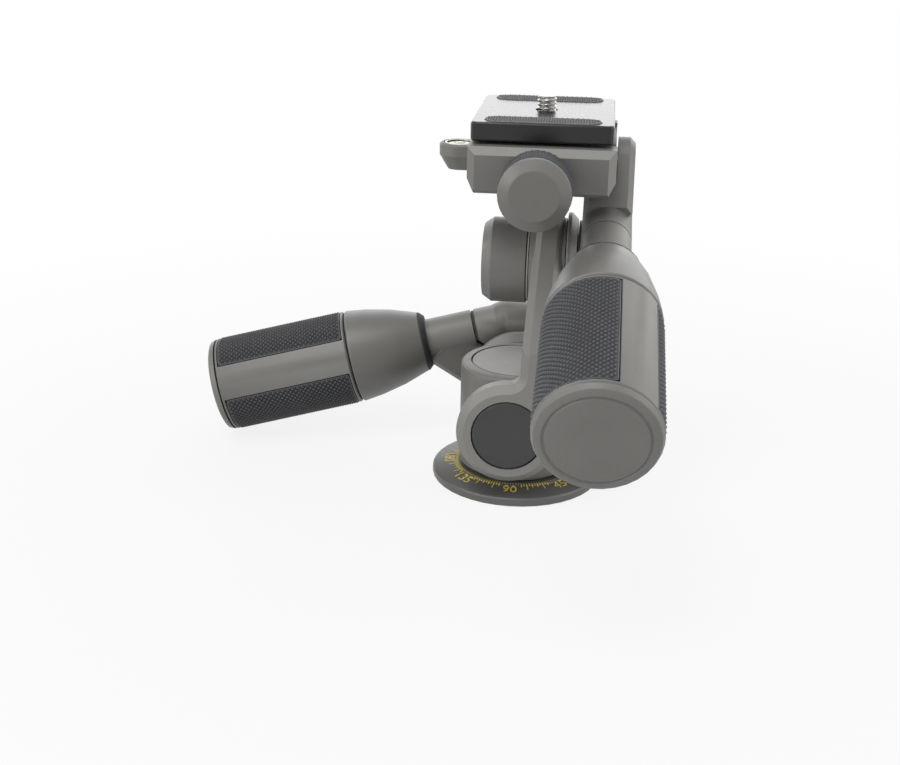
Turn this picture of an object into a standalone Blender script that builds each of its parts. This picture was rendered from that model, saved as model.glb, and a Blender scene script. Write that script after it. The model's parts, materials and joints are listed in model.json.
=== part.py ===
# Three way pan tilt head: base, pan housing, tilting arm, platform with clamp, camera plate, two handles.
# Lengths are in metres and +Z is up. The user stands at -Y. The origin is the centre of the base's underside.
import bpy
import bmesh
from math import acos, asin, atan2, cos, hypot, pi, radians, sin, sqrt
from mathutils import Matrix, Vector

# fits shared by every piece
fit_gap = 0.0003
cut_overrun = 0.0010
merge_distance = 0.000002

# base disc and the post that the head turns on
base_radius = 0.0300
base_rim_height = 0.0030
base_height = 0.0048
base_step_radius = 0.0225
base_edge = 0.0005
post_radius = 0.0087
post_lift = 0.0005
post_neck_radius = 0.0065
socket_radius = 0.0047
socket_depth = 0.0090
collar_height = 0.0036
collar_overhang = 0.0025
washer_thickness = 0.0005

# pan housing
housing_radius = 0.0205
housing_top = 0.0430
housing_round = 0.0018
housing_floor = 0.0065
housing_cap_radius = 0.0167
housing_cap_height = 0.0024
boss_radius = 0.0128
boss_proud = 0.0002

# pan lock knob
pan_knob_angle = radians(12)
pan_knob_height = 0.0155
pan_knob_radius = 0.0082
pan_knob_length = 0.0150
pan_knob_stand = 0.0015
pan_knob_band = 0.0100
knob_band_wall = 0.0014
screw_radius = 0.0025

# side tilt axis and the arm
side_axis_x = -0.0015
side_axis_height = 0.0268
ring_radius = 0.0175
ring_depth = 0.0096
rear_ring_radius = 0.0180
rear_ring_depth = 0.0074
ring_cap_radius = 0.0120
ring_cap_height = 0.0022
nut_radius = 0.0085
nut_height = 0.0024
shaft_radius = 0.0050
arm_left = 0.0024
arm_thickness = 0.0102
arm_lean = 0.0020
arm_shoulder_rise = 0.0295
arm_head_radius = 0.0170
arm_chamfer = 0.0026
arm_swing_gap = 0.0008
arm_face_step = 0.00015
window_corner = 0.0040
leg_lap = 0.0012
arm_fillet = 0.0040
arm_boss_radius = 0.0150
knuckle_boss_radius = 0.0092
knuckle_boss_lift = 0.0176
knuckle_boss_shift = 0.0018
knuckle_web_spread = 0.0030

# front tilt axis and the platform
front_axis_height = 0.0794
barrel_radius = 0.0145
barrel_length = 0.0149
barrel_chamfer = 0.0021
barrel_chamfer_length = 0.0031
barrel_cap_radius = 0.0084
barrel_cap_height = 0.0014
flange_radius = 0.0170
flange_height = 0.0035
flange_chamfer = 0.0022
flange_edge = 0.0008
shaft_cap_radius = 0.0144
shaft_cap_height = 0.0021
neck_half_depth = 0.0050
neck_gap = 0.0019
neck_left = -0.0055
neck_right = 0.0135
shaft_seat = 0.0090

# clamp
clamp_left = -0.0168
clamp_right = 0.0297
clamp_rise = 0.0301
clamp_height = 0.0145
clamp_front = 0.0345
clamp_rear = 0.0280
jaw_seam = 0.0215
clamp_side_chamfer = 0.0024
clamp_corner_rise = 0.0044
clamp_base_chamfer = 0.0010
clamp_top_chamfer = 0.0024
bed_depth = 0.0042
pocket_wall_x = 0.0193
pocket_front = 0.0243
pocket_rear = 0.0135
lip_overhang = 0.0035
lip_top = 0.0058
jaw_pin_radius = 0.0018
jaw_pin_length = 0.0170
jaw_pin_reach = 0.0140
left_pin_share = 1.0
right_pin_share = 0.7
knob_x = 0.0055
knob_drop = 0.0107
knob_radius = 0.0112
knob_band_proud = 0.0003
knob_face_radius = 0.0077
knob_neck_radius = 0.0045
knob_neck_length = 0.0035
knob_band_length = 0.0112
knob_head_length = 0.0038
clamp_screw_length = 0.0270
clamp_screw_seat = 0.0120

# bubble level beside the clamp
level_x = -0.0225
level_y = -0.0004
level_lug_radius = 0.0067
level_lug_height = 0.0088
level_lug_rim = 0.0040
level_lug_base_radius = 0.0038
level_top_drop = 0.0047
level_ring_radius = 0.0050
level_ring_wall = 0.0007
level_depth = 0.0032
level_lens_drop = 0.0004
lug_edge = 0.0006

# camera plate
plate_x = 0.0061
plate_y = -0.0007
plate_length = 0.0577
plate_width = 0.0448
plate_thickness = 0.0060
plate_stand = 0.0010
plate_corner = 0.0020
plate_edge = 0.0005
strip_half_length = 0.0182
strip_half_width = 0.0047
strip_offset = 0.0230
strip_sink = 0.0007
strip_thickness = 0.0011
camera_screw_radius = 0.0032
camera_screw_height = 0.0046
camera_screw_head_radius = 0.0090
camera_screw_head_height = 0.0034
camera_screw_hole_gap = 0.0005

# handles: distances along a handle are measured from the elbow's cut face
elbow_radius = 0.0080
elbow_length = 0.0260
elbow_leg_start = 0.0138
elbow_leg_length = 0.0201
elbow_lobe_radius = 0.0082
right_inner_ear_radius = 0.0073
elbow_lobe_chamfer = 0.0018
elbow_side_trim = 0.0002
elbow_leg_angle = radians(133.4)
elbow_cut_gap = 0.0013
slot_half_width = 0.0022
slot_rest = 0.0089
tongue_radius = 0.0068
hinge_pin_radius = 0.0023
tube_spigot_radius = 0.0040
tube_spigot_start = 0.0140
tube_end = 0.0930
cone_start = 0.0179
cone_nose_radius = 0.0111
cone_nose_round = 0.0016
cone_belly_share = 0.125
cone_shares = (0.72, 0.40)
grip_start = 0.0471
grip_radius = 0.0176
grip_end = 0.0972
grip_seam_edge = 0.0006
handle_end = 0.1001
panel_start = 0.0486
panel_end = 0.0958
panel_depth = 0.0016
panel_share = 137 / 360
end_round = 0.0026
end_round_share = 0.3
end_groove_radius = 0.0142
end_groove = 0.0005
plug_length = 0.0032

# left handle, hinged on the arm
left_elbow_back = 0.0183
left_elbow_out = 0.0168
left_elbow_rise = 0.0137
left_heading = radians(188.2)
left_droop = radians(13.3)
left_grip_turn = radians(20)
left_extension = 0.0
stub_straight = 0.0085
stub_run = 0.0085

# right handle, hinged on the platform
right_elbow_y = -0.0067
right_elbow_drop = 0.0070
right_elbow_side_gap = 0.0005
right_heading = radians(-90)
right_droop = radians(16.9)
right_grip_turn = radians(52.5)
right_extension = 0.0246
right_tongue_half_height = 0.0062

# smoothness
fine_steps = 40
round_steps = 32
small_steps = 16
arc_steps = 10

# looks: colour, roughness, metallic
grey_paint = ((0.16, 0.158, 0.15), 0.42, 0.55)
dark_paint = ((0.07, 0.07, 0.069), 0.5, 0.3)
black_coat = ((0.012, 0.012, 0.013), 0.22, 0.4)
rubber = ((0.045, 0.047, 0.052), 0.75, 0.0)
steel = ((0.55, 0.55, 0.54), 0.3, 1.0)
brass = ((0.6, 0.42, 0.18), 0.35, 1.0)
nylon = ((0.62, 0.6, 0.55), 0.6, 0.0)
glass_green = ((0.55, 0.68, 0.22), 0.1, 0.0)

for old_object in list(bpy.data.objects):
    bpy.data.objects.remove(old_object, do_unlink=True)

scene_root = bpy.context.scene.collection
part_group = bpy.data.collections.new("pan_tilt_head")
cutter_group = bpy.data.collections.new("cutters")
scene_root.children.link(part_group)
scene_root.children.link(cutter_group)
joint_frames = {}


# A matrix at an origin with its local Z along one direction and its local X as near as can be to another.
def aimed(origin, z_axis, x_axis=(1.0, 0.0, 0.0)):
    z_unit = Vector(z_axis).normalized()
    y_unit = z_unit.cross(Vector(x_axis)).normalized()
    x_unit = y_unit.cross(z_unit)
    turn = Matrix((x_unit, y_unit, z_unit)).transposed()
    return Matrix.Translation(Vector(origin)) @ turn.to_4x4()


upright = Matrix.Identity(4)
side_axis = Vector((side_axis_x, 0.0, side_axis_height))
front_axis = Vector((0.0, 0.0, front_axis_height))
forward = Vector((0.0, -1.0, 0.0))
backward = Vector((0.0, 1.0, 0.0))
rightward = Vector((1.0, 0.0, 0.0))
leftward = Vector((-1.0, 0.0, 0.0))
upward = Vector((0.0, 0.0, 1.0))


# Outlines drawn in (y, z) that grow along X, and outlines drawn in (x, z) that grow along Y.
def side_view(x_centre):
    return Matrix.Translation((x_centre, 0.0, 0.0)) @ Matrix(
        ((0, 0, 1, 0), (1, 0, 0, 0), (0, 1, 0, 0), (0, 0, 0, 1))
    )


def front_view(y_centre):
    return Matrix.Translation((0.0, y_centre, 0.0)) @ Matrix(
        ((1, 0, 0, 0), (0, 0, -1, 0), (0, 1, 0, 0), (0, 0, 0, 1))
    )


def top_view(z_centre):
    return Matrix.Translation((0.0, 0.0, z_centre))


def joint_frame(name, matrix, parent):
    empty = bpy.data.objects.new(name, None)
    part_group.objects.link(empty)
    joint_frames[name] = (empty, matrix)
    hang(empty, matrix, parent)


def hang(item, matrix, parent):
    if parent:
        holder, holder_matrix = joint_frames[parent]
        item.parent = holder
        item.matrix_parent_inverse = holder_matrix.inverted()
    item.matrix_basis = matrix


def add(name, mesh, matrix, look, parent):
    item = bpy.data.objects.new(name, mesh)
    if look:
        part_group.objects.link(item)
        material = bpy.data.materials.new(name)
        material.use_nodes = True
        shader = material.node_tree.nodes["Principled BSDF"]
        shader.inputs["Base Color"].default_value = (*look[0], 1.0)
        shader.inputs["Roughness"].default_value = look[1]
        shader.inputs["Metallic"].default_value = look[2]
        mesh.materials.append(material)
    else:
        cutter_group.objects.link(item)
        item.hide_render = True
        item.display_type = "WIRE"
    hang(item, matrix, parent)
    return item


def turned(name, profile, matrix, look, parent, steps=round_steps):
    points = [(radius, 0.0, height) for radius, height in profile]
    edges = [(i, i + 1) for i in range(len(points) - 1)]
    if profile[0][0] > 0:
        edges.append((len(points) - 1, 0))
    mesh = bpy.data.meshes.new(name)
    mesh.from_pydata(points, edges, [])
    item = add(name, mesh, matrix, look, parent)
    turning = item.modifiers.new("turned", "SCREW")
    turning.axis = "Z"
    turning.angle = 2 * pi
    turning.steps = steps
    turning.render_steps = steps
    turning.use_merge_vertices = True
    turning.merge_threshold = merge_distance
    return item


def cylinder(name, start, end, radius, look=None, parent=None, steps=small_steps):
    start = Vector(start)
    run = Vector(end) - start
    guess = upward if abs(run.normalized().z) < 1 / sqrt(2) else rightward
    matrix = aimed(start, run, guess)
    length = run.length
    profile = [(0.0, length), (radius, length), (radius, 0.0), (0.0, 0.0)]
    return turned(name, profile, matrix, look, parent, steps)


def tidied(mesh):
    shape = bmesh.new()
    shape.from_mesh(mesh)
    bmesh.ops.remove_doubles(shape, verts=shape.verts, dist=merge_distance)
    bmesh.ops.recalc_face_normals(shape, faces=shape.faces)
    shape.to_mesh(mesh)
    shape.free()
    return mesh


def curve_mesh(curve):
    holder = bpy.data.objects.new(curve.name, curve)
    cutter_group.objects.link(holder)
    bpy.context.view_layer.update()
    seen = holder.evaluated_get(bpy.context.evaluated_depsgraph_get())
    mesh = bpy.data.meshes.new_from_object(seen)
    bpy.data.objects.remove(holder, do_unlink=True)
    return tidied(mesh)


# A flat outline with a thickness, its long edges chamfered by edge.
def slab(name, outline, low, high, view, look=None, parent=None, edge=0.0):
    curve = bpy.data.curves.new(name, "CURVE")
    curve.dimensions = "2D"
    curve.fill_mode = "BOTH"
    curve.extrude = (high - low) / 2 - edge
    curve.bevel_depth = edge
    curve.bevel_resolution = 0
    curve.offset = -edge
    spline = curve.splines.new("POLY")
    spline.points.add(len(outline) - 1)
    for point, (u, v) in zip(spline.points, outline):
        point.co = (u, v, 0.0, 1.0)
    spline.use_cyclic_u = True
    middle = (low + high) / 2
    return add(name, curve_mesh(curve), view(middle), look, parent)


def rod(name, centres, radius, look, parent):
    curve = bpy.data.curves.new(name, "CURVE")
    curve.dimensions = "3D"
    curve.bevel_depth = radius
    curve.bevel_resolution = 6
    curve.use_fill_caps = True
    spline = curve.splines.new("POLY")
    spline.points.add(len(centres) - 1)
    for point, centre in zip(spline.points, centres):
        point.co = (*centre, 1.0)
    return add(name, curve_mesh(curve), upright, look, parent)


def combine(target, other, operation, solver="EXACT"):
    step = target.modifiers.new(operation.lower(), "BOOLEAN")
    step.operation = operation
    step.solver = solver
    step.object = other


def cut(target, *tools):
    for tool in tools:
        combine(target, tool, "DIFFERENCE")


def fuse(target, *others):
    for other in others:
        combine(target, other, "UNION")


def keep_inside(target, *others):
    for other in others:
        combine(target, other, "INTERSECT")


def arc(centre_u, centre_v, radius, start, end, steps=arc_steps):
    turns = [start + (end - start) * i / steps for i in range(steps + 1)]
    return [(centre_u + radius * cos(turn), centre_v + radius * sin(turn)) for turn in turns]


# Heights and reaches that follow from the sizes above.
washer_base = base_height + fit_gap
housing_base = washer_base + washer_thickness + fit_gap
shelf_height = housing_base + housing_floor
collar_base = shelf_height + fit_gap
post_top = collar_base + collar_height + fit_gap
collar_radius = post_radius + collar_overhang
boss_reach = housing_radius + boss_proud
ring_inner = boss_reach + fit_gap + washer_thickness + fit_gap
ring_outer = ring_inner + ring_depth
rear_ring_outer = ring_inner + rear_ring_depth
housing_sweep = hypot(housing_radius - side_axis_x, housing_top - side_axis_height)
window_top = side_axis_height + housing_sweep + arm_swing_gap
arm_right = arm_left + arm_thickness
arm_boss_left = arm_left + fit_gap
arm_boss_right = arm_right + arm_lean
clamp_base = front_axis_height + clamp_rise
clamp_top = clamp_base + clamp_height
bed_top = clamp_top - bed_depth
plate_base = clamp_top + plate_stand
plate_top = plate_base + plate_thickness

# Moving frames, each on its joint's axis.
joint_frame("pan_frame", upright, None)
knob_way = Vector((cos(pan_knob_angle), sin(pan_knob_angle), 0.0))
pan_knob_seat = knob_way * housing_radius + upward * pan_knob_height
joint_frame("pan_knob_frame", aimed(pan_knob_seat, knob_way, upward), "pan_frame")
joint_frame("side_tilt_frame", Matrix.Translation(side_axis), "pan_frame")
joint_frame("front_tilt_frame", Matrix.Translation(front_axis), "side_tilt_frame")
knob_height = clamp_top - knob_drop
knob_seat = Vector((knob_x, -clamp_front, knob_height))
joint_frame("jaw_frame", Matrix.Translation(knob_seat), "front_tilt_frame")
joint_frame("clamp_knob_frame", aimed(knob_seat, forward, upward), "jaw_frame")
plate_centre = Vector((plate_x, plate_y, plate_base))
joint_frame("plate_frame", Matrix.Translation(plate_centre), "front_tilt_frame")
joint_frame("camera_screw_frame", Matrix.Translation(plate_centre), "plate_frame")

# Base.
base_profile = [
    (post_radius + fit_gap, base_height),
    (base_step_radius - base_edge, base_height),
    (base_step_radius, base_height - base_edge),
    (base_radius - base_edge, base_rim_height + base_edge / 2),
    (base_radius, base_rim_height - base_edge / 2),
    (base_radius, base_edge),
    (base_radius - base_edge, 0.0),
    (post_radius + fit_gap, 0.0),
]
turned("base_disc", base_profile, upright, dark_paint, None, fine_steps)
post_profile = [
    (0.0, post_top),
    (post_neck_radius, post_top),
    (post_neck_radius, shelf_height),
    (post_radius, shelf_height),
    (post_radius, post_lift),
    (socket_radius, post_lift),
    (socket_radius, socket_depth),
    (0.0, socket_depth),
]
turned("pan_post", post_profile, upright, steel, None)
collar_profile = [
    (post_neck_radius + fit_gap, collar_base + collar_height),
    (collar_radius, collar_base + collar_height),
    (collar_radius, collar_base),
    (post_neck_radius + fit_gap, collar_base),
]
turned("post_collar", collar_profile, upright, brass, None)
washer_top = washer_base + washer_thickness
pan_washer_profile = [
    (post_radius + fit_gap, washer_top),
    (housing_radius - housing_round, washer_top),
    (housing_radius - housing_round, washer_base),
    (post_radius + fit_gap, washer_base),
]
turned("pan_washer", pan_washer_profile, upright, nylon, None)

# Pan housing with a flush cap and flats for the side tilt rings.
cap_floor = housing_top - housing_cap_height - fit_gap
round_corner = arc(
    housing_radius - housing_round, housing_top - housing_round, housing_round, pi / 2, 0.0, 3
)
housing_profile = [
    (0.0, cap_floor),
    (housing_cap_radius + fit_gap, cap_floor),
    (housing_cap_radius + fit_gap, housing_top),
    *round_corner,
    (housing_radius, housing_base + base_edge),
    (housing_radius - base_edge, housing_base),
    (0.0, housing_base),
]
cavity_profile = [
    (0.0, post_top + fit_gap),
    (collar_radius + fit_gap, post_top + fit_gap),
    (collar_radius + fit_gap, shelf_height),
    (post_radius + fit_gap, shelf_height),
    (post_radius + fit_gap, housing_base - cut_overrun),
    (0.0, housing_base - cut_overrun),
]
housing = turned("pan_housing", housing_profile, upright, grey_paint, "pan_frame", fine_steps)
boss = cylinder(
    "housing_boss",
    side_axis + forward * boss_reach,
    side_axis + backward * boss_reach,
    boss_radius,
    steps=round_steps,
)
side_bore = cylinder(
    "side_bore",
    side_axis + forward * (boss_reach + cut_overrun),
    side_axis + backward * (boss_reach + cut_overrun),
    shaft_radius + fit_gap,
)
knob_bore = cylinder(
    "pan_knob_bore",
    knob_way * (collar_radius + fit_gap - cut_overrun) + upward * pan_knob_height,
    knob_way * (housing_radius + cut_overrun) + upward * pan_knob_height,
    screw_radius + fit_gap,
)
cavity = turned("housing_cavity", cavity_profile, upright, None, "pan_frame")
fuse(housing, boss)
cut(housing, cavity, side_bore, knob_bore)
housing_cap_profile = [
    (0.0, housing_top),
    (housing_cap_radius - base_edge, housing_top),
    (housing_cap_radius, housing_top - base_edge),
    (housing_cap_radius, cap_floor + fit_gap),
    (0.0, cap_floor + fit_gap),
]
turned("housing_cap", housing_cap_profile, upright, grey_paint, "pan_frame", fine_steps)

# Pan lock knob, its band and its screw.
pan_knob_matrix = joint_frames["pan_knob_frame"][1]
pan_knob_tip = pan_knob_stand + pan_knob_length
pan_hub_radius = pan_knob_radius - knob_band_wall
pan_knob_profile = [
    (0.0, pan_knob_tip),
    (pan_hub_radius, pan_knob_tip),
    (pan_knob_radius, pan_knob_tip - knob_band_wall),
    (pan_knob_radius, pan_knob_stand + pan_knob_band),
    (pan_hub_radius, pan_knob_stand + pan_knob_band),
    (pan_hub_radius, pan_knob_stand),
    (screw_radius + fit_gap, pan_knob_stand),
    (screw_radius + fit_gap, pan_knob_stand + pan_knob_band),
    (0.0, pan_knob_stand + pan_knob_band),
]
turned("pan_knob", pan_knob_profile, pan_knob_matrix, grey_paint, "pan_knob_frame", 32)
pan_band_profile = [
    (pan_hub_radius + fit_gap, pan_knob_stand + pan_knob_band - fit_gap),
    (pan_knob_radius, pan_knob_stand + pan_knob_band - fit_gap),
    (pan_knob_radius, pan_knob_stand),
    (pan_hub_radius + fit_gap, pan_knob_stand),
]
turned("pan_knob_band", pan_band_profile, pan_knob_matrix, rubber, "pan_knob_frame", 32)
pan_screw_inner = collar_radius + fit_gap + fit_gap - housing_radius
pan_screw_outer = pan_knob_stand + pan_knob_band - fit_gap
pan_screw_profile = [
    (0.0, pan_screw_outer),
    (screw_radius, pan_screw_outer),
    (screw_radius, pan_screw_inner),
    (0.0, pan_screw_inner),
]
turned("pan_knob_screw", pan_screw_profile, pan_knob_matrix, steel, "pan_knob_frame", small_steps)

# Arm: a fork over the housing with a ring at each foot, a round head and a boss for the left handle.
shoulder = side_axis_height + arm_shoulder_rise


def head_tangent(foot_y):
    to_head = Vector((-foot_y, front_axis_height - shoulder))
    lean = atan2(to_head.y, abs(to_head.x)) + asin(arm_head_radius / to_head.length)
    return lean - pi / 2


leg_end = window_top - window_corner - leg_lap
front_foot = ring_outer - arm_face_step
rear_foot = rear_ring_outer - arm_face_step
inner_foot = ring_inner + arm_face_step
front_turn = head_tangent(-front_foot)
rear_turn = head_tangent(rear_foot)
arm_outline = [
    (-front_foot, leg_end),
    (-inner_foot, leg_end),
    *arc(-inner_foot + window_corner, window_top - window_corner, window_corner, pi, pi / 2, 4),
    *arc(inner_foot - window_corner, window_top - window_corner, window_corner, pi / 2, 0.0, 4),
    (inner_foot, leg_end),
    (rear_foot, leg_end),
    (rear_foot, shoulder),
    *arc(0.0, front_axis_height, arm_head_radius, -rear_turn, pi + front_turn, 14),
    (-front_foot, shoulder),
]
arm = slab(
    "tilt_arm", arm_outline, arm_left, arm_right, side_view, grey_paint, "side_tilt_frame", arm_chamfer
)
lean_base = shoulder
lean_span = front_axis_height + arm_head_radius - lean_base
arm_shape = bmesh.new()
arm_shape.from_mesh(arm.data)
arm_faces = arm_shape.verts[:] + arm_shape.edges[:] + arm_shape.faces[:]
bmesh.ops.bisect_plane(
    arm_shape, geom=arm_faces, dist=merge_distance, plane_co=(0.0, lean_base, 0.0), plane_no=(0.0, 1.0, 0.0)
)
for corner in arm_shape.verts:
    corner.co.z += arm_lean * max(0.0, corner.co.y - lean_base) / lean_span
bmesh.ops.triangulate(arm_shape, faces=[face for face in arm_shape.faces if len(face.verts) > 4])
arm_shape.to_mesh(arm.data)
arm_shape.free()


# A foot plate of the arm: a ring about the side tilt axis that flows into the arm's edges.
def foot_plate(name, radius, low, high):
    fillet_u = foot_left - arm_fillet
    fillet_rise = sqrt((radius + arm_fillet) ** 2 - (fillet_u - side_axis_x) ** 2)
    fillet_v = side_axis_height + fillet_rise
    touch_turn = atan2(-fillet_rise, side_axis_x - fillet_u)
    ring_start = atan2(fillet_rise, fillet_u - side_axis_x)
    ring_end = 2 * pi + acos((foot_right - side_axis_x) / radius)
    foot_outline = [
        *arc(side_axis_x, side_axis_height, radius, ring_start, ring_end, fine_steps),
        (foot_right, shoulder),
        (foot_left, shoulder),
        *arc(fillet_u, fillet_v, arm_fillet, 0.0, touch_turn)[:-1],
    ]
    return slab(name, foot_outline, low, high, front_view, None, "side_tilt_frame", arm_chamfer)


front_ring_matrix = aimed(side_axis + forward * ring_inner, forward, upward)
rear_ring_matrix = aimed(side_axis + backward * ring_inner, backward, upward)
foot_left = arm_left - arm_face_step
foot_right = arm_right + arm_face_step
front_ring = foot_plate("front_ring", ring_radius, -ring_outer, -ring_inner)
rear_ring = foot_plate("rear_ring", rear_ring_radius, ring_inner, rear_ring_outer)
head_boss = cylinder(
    "arm_head_boss",
    front_axis + rightward * arm_boss_left,
    front_axis + rightward * arm_boss_right,
    arm_boss_radius,
    None,
    "side_tilt_frame",
    round_steps,
)
stub_y = ring_inner + left_elbow_out + knuckle_boss_shift
stub_z = side_axis_height + knuckle_boss_lift
knuckle_web = (ring_inner + rear_ring_outer) / 2
knuckle_outline = [
    *arc(stub_y, stub_z, knuckle_boss_radius, -pi / 2, pi / 2),
    (knuckle_web, stub_z + knuckle_boss_radius + knuckle_web_spread),
    (knuckle_web, stub_z - knuckle_boss_radius - knuckle_web_spread),
]
knuckle_boss = slab(
    "knuckle_boss",
    knuckle_outline,
    arm_left + lug_edge,
    arm_right - lug_edge,
    side_view,
    None,
    "side_tilt_frame",
)
recess_depth = ring_cap_height + nut_height + fit_gap + fit_gap + fit_gap


def ring_tool(name, matrix, depth):
    tool_profile = [
        (0.0, depth + cut_overrun),
        (ring_cap_radius + fit_gap, depth + cut_overrun),
        (ring_cap_radius + fit_gap, depth - recess_depth),
        (shaft_radius + fit_gap, depth - recess_depth),
        (shaft_radius + fit_gap, -cut_overrun),
        (0.0, -cut_overrun),
    ]
    return turned(name, tool_profile, matrix, None, "side_tilt_frame", round_steps)


head_bore = cylinder(
    "arm_head_bore",
    front_axis + rightward * (arm_boss_left - cut_overrun),
    front_axis + rightward * (arm_boss_right + cut_overrun),
    shaft_radius + fit_gap,
    None,
    "side_tilt_frame",
)
fuse(arm, front_ring, rear_ring, head_boss, knuckle_boss)
front_tool = ring_tool("front_ring_tool", front_ring_matrix, ring_depth)
rear_tool = ring_tool("rear_ring_tool", rear_ring_matrix, rear_ring_depth)
cut(arm, front_tool)
combine(arm, rear_tool, "DIFFERENCE", "MANIFOLD")
combine(arm, head_bore, "DIFFERENCE", "MANIFOLD")


def ring_cap(name, matrix, depth, look):
    cap_profile = [
        (0.0, depth),
        (ring_cap_radius - base_edge, depth),
        (ring_cap_radius, depth - base_edge),
        (ring_cap_radius, depth - ring_cap_height),
        (0.0, depth - ring_cap_height),
    ]
    turned(name, cap_profile, matrix, look, "side_tilt_frame", fine_steps)


def ring_nut(name, way, outer):
    nut_top = outer - ring_cap_height - fit_gap
    nut_bottom = nut_top - nut_height
    nut = cylinder(
        name, side_axis + way * nut_bottom, side_axis + way * nut_top, nut_radius, steel, "side_tilt_frame", 6
    )
    bore = cylinder(
        name + "_bore",
        side_axis + way * (nut_bottom - cut_overrun),
        side_axis + way * (nut_top + cut_overrun),
        shaft_radius + fit_gap,
        None,
        "side_tilt_frame",
    )
    cut(nut, bore)


def tilt_washer(name, way):
    washer_matrix = aimed(side_axis + way * (boss_reach + fit_gap), way, upward)
    washer_profile = [
        (shaft_radius + fit_gap, washer_thickness),
        (boss_radius, washer_thickness),
        (boss_radius, 0.0),
        (shaft_radius + fit_gap, 0.0),
    ]
    turned(name, washer_profile, washer_matrix, nylon, "side_tilt_frame", 32)


ring_cap("front_cap", front_ring_matrix, ring_depth, dark_paint)
ring_cap("rear_cap", rear_ring_matrix, rear_ring_depth, dark_paint)
ring_nut("front_nut", forward, ring_outer)
ring_nut("rear_nut", backward, rear_ring_outer)
tilt_washer("front_washer", forward)
tilt_washer("rear_washer", backward)
cylinder(
    "side_shaft",
    side_axis + forward * (ring_outer - ring_cap_height - fit_gap),
    side_axis + backward * (rear_ring_outer - ring_cap_height - fit_gap),
    shaft_radius,
    steel,
    "side_tilt_frame",
)

# Platform: barrel, neck, clamp bed with the fixed lip, level lug and the tongue for the right handle.
barrel_end = arm_boss_left - fit_gap - washer_thickness - fit_gap
barrel_matrix = aimed(front_axis + rightward * barrel_end, leftward, upward)
barrel_profile = [
    (0.0, barrel_length - barrel_cap_height - fit_gap),
    (barrel_cap_radius + fit_gap, barrel_length - barrel_cap_height - fit_gap),
    (barrel_cap_radius + fit_gap, barrel_length),
    (barrel_radius - barrel_chamfer, barrel_length),
    (barrel_radius, barrel_length - barrel_chamfer_length),
    (barrel_radius, 0.0),
    (shaft_radius + fit_gap, 0.0),
    (shaft_radius + fit_gap, shaft_seat),
    (0.0, shaft_seat),
]
platform = turned("platform", barrel_profile, barrel_matrix, grey_paint, "front_tilt_frame")
neck_base = front_axis_height + arm_head_radius + neck_gap
neck_outline = [
    (neck_left, front_axis_height + shaft_radius + neck_gap),
    (barrel_end, front_axis_height + shaft_radius + neck_gap),
    (barrel_end, neck_base),
    (neck_right, neck_base),
    (neck_right, clamp_base + bed_depth / 2),
    (neck_left, clamp_base + bed_depth / 2),
]
neck = slab("neck", neck_outline, -neck_half_depth, neck_half_depth, front_view, None, "front_tilt_frame")
bed_outline = [
    (-jaw_seam + fit_gap, clamp_base),
    (clamp_rear - clamp_base_chamfer, clamp_base),
    (clamp_rear, clamp_base + clamp_base_chamfer),
    (clamp_rear, clamp_top - clamp_top_chamfer),
    (clamp_rear - clamp_top_chamfer, clamp_top),
    (clamp_rear - lip_top - clamp_top_chamfer + base_edge, clamp_top),
    (clamp_rear - lip_top - clamp_top_chamfer + base_edge + lip_overhang, bed_top),
    (-jaw_seam + fit_gap, bed_top),
]
bed = slab("clamp_bed", bed_outline, clamp_left, pocket_wall_x, side_view, None, "front_tilt_frame")
rear_lip_top = clamp_rear - lip_top - clamp_top_chamfer + base_edge
rear_outline = [
    (pocket_rear, clamp_base),
    (clamp_rear - clamp_base_chamfer, clamp_base),
    (clamp_rear, clamp_base + clamp_base_chamfer),
    (clamp_rear, clamp_top - clamp_top_chamfer),
    (clamp_rear - clamp_top_chamfer, clamp_top),
    (rear_lip_top, clamp_top),
    (rear_lip_top + lip_overhang, bed_top),
    (pocket_rear, bed_top),
]
rear_block = slab(
    "rear_block", rear_outline, pocket_wall_x - cut_overrun, clamp_right, side_view, None, "front_tilt_frame"
)
clamp_plan = [
    (clamp_left + clamp_side_chamfer, -clamp_front),
    (clamp_right - clamp_side_chamfer, -clamp_front),
    (clamp_right, -clamp_front + clamp_side_chamfer),
    (clamp_right, clamp_rear - clamp_side_chamfer),
    (clamp_right - clamp_side_chamfer, clamp_rear),
    (clamp_left + clamp_side_chamfer, clamp_rear),
    (clamp_left, clamp_rear - clamp_side_chamfer),
    (clamp_left, -clamp_front + clamp_side_chamfer),
]
clamp_face = [
    (clamp_left + clamp_side_chamfer, clamp_base),
    (clamp_right - clamp_side_chamfer, clamp_base),
    (clamp_right, clamp_base + clamp_corner_rise),
    (clamp_right, clamp_top),
    (clamp_left, clamp_top),
    (clamp_left, clamp_base + clamp_corner_rise),
]
lug_top = clamp_top - level_top_drop
lug_base = lug_top - level_lug_height
lug_rim = lug_top - level_lug_rim
lug_profile = [
    (0.0, lug_top),
    (level_lug_radius - lug_edge, lug_top),
    (level_lug_radius, lug_top - lug_edge),
    (level_lug_radius, lug_rim),
    (level_lug_base_radius, lug_base),
    (0.0, lug_base),
]
lug_matrix = Matrix.Translation((level_x, level_y, 0.0))
lug = turned("level_lug", lug_profile, lug_matrix, None, "front_tilt_frame", 32)
web_profile = [
    (level_y - level_lug_radius + lug_edge, lug_top),
    (level_y - level_lug_radius, lug_top - lug_edge),
    (level_y - level_lug_radius, lug_rim),
    (level_y - level_lug_base_radius, lug_base),
    (level_y + level_lug_base_radius, lug_base),
    (level_y + level_lug_radius, lug_rim),
    (level_y + level_lug_radius, lug_top - lug_edge),
    (level_y + level_lug_radius - lug_edge, lug_top),
]
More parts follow.
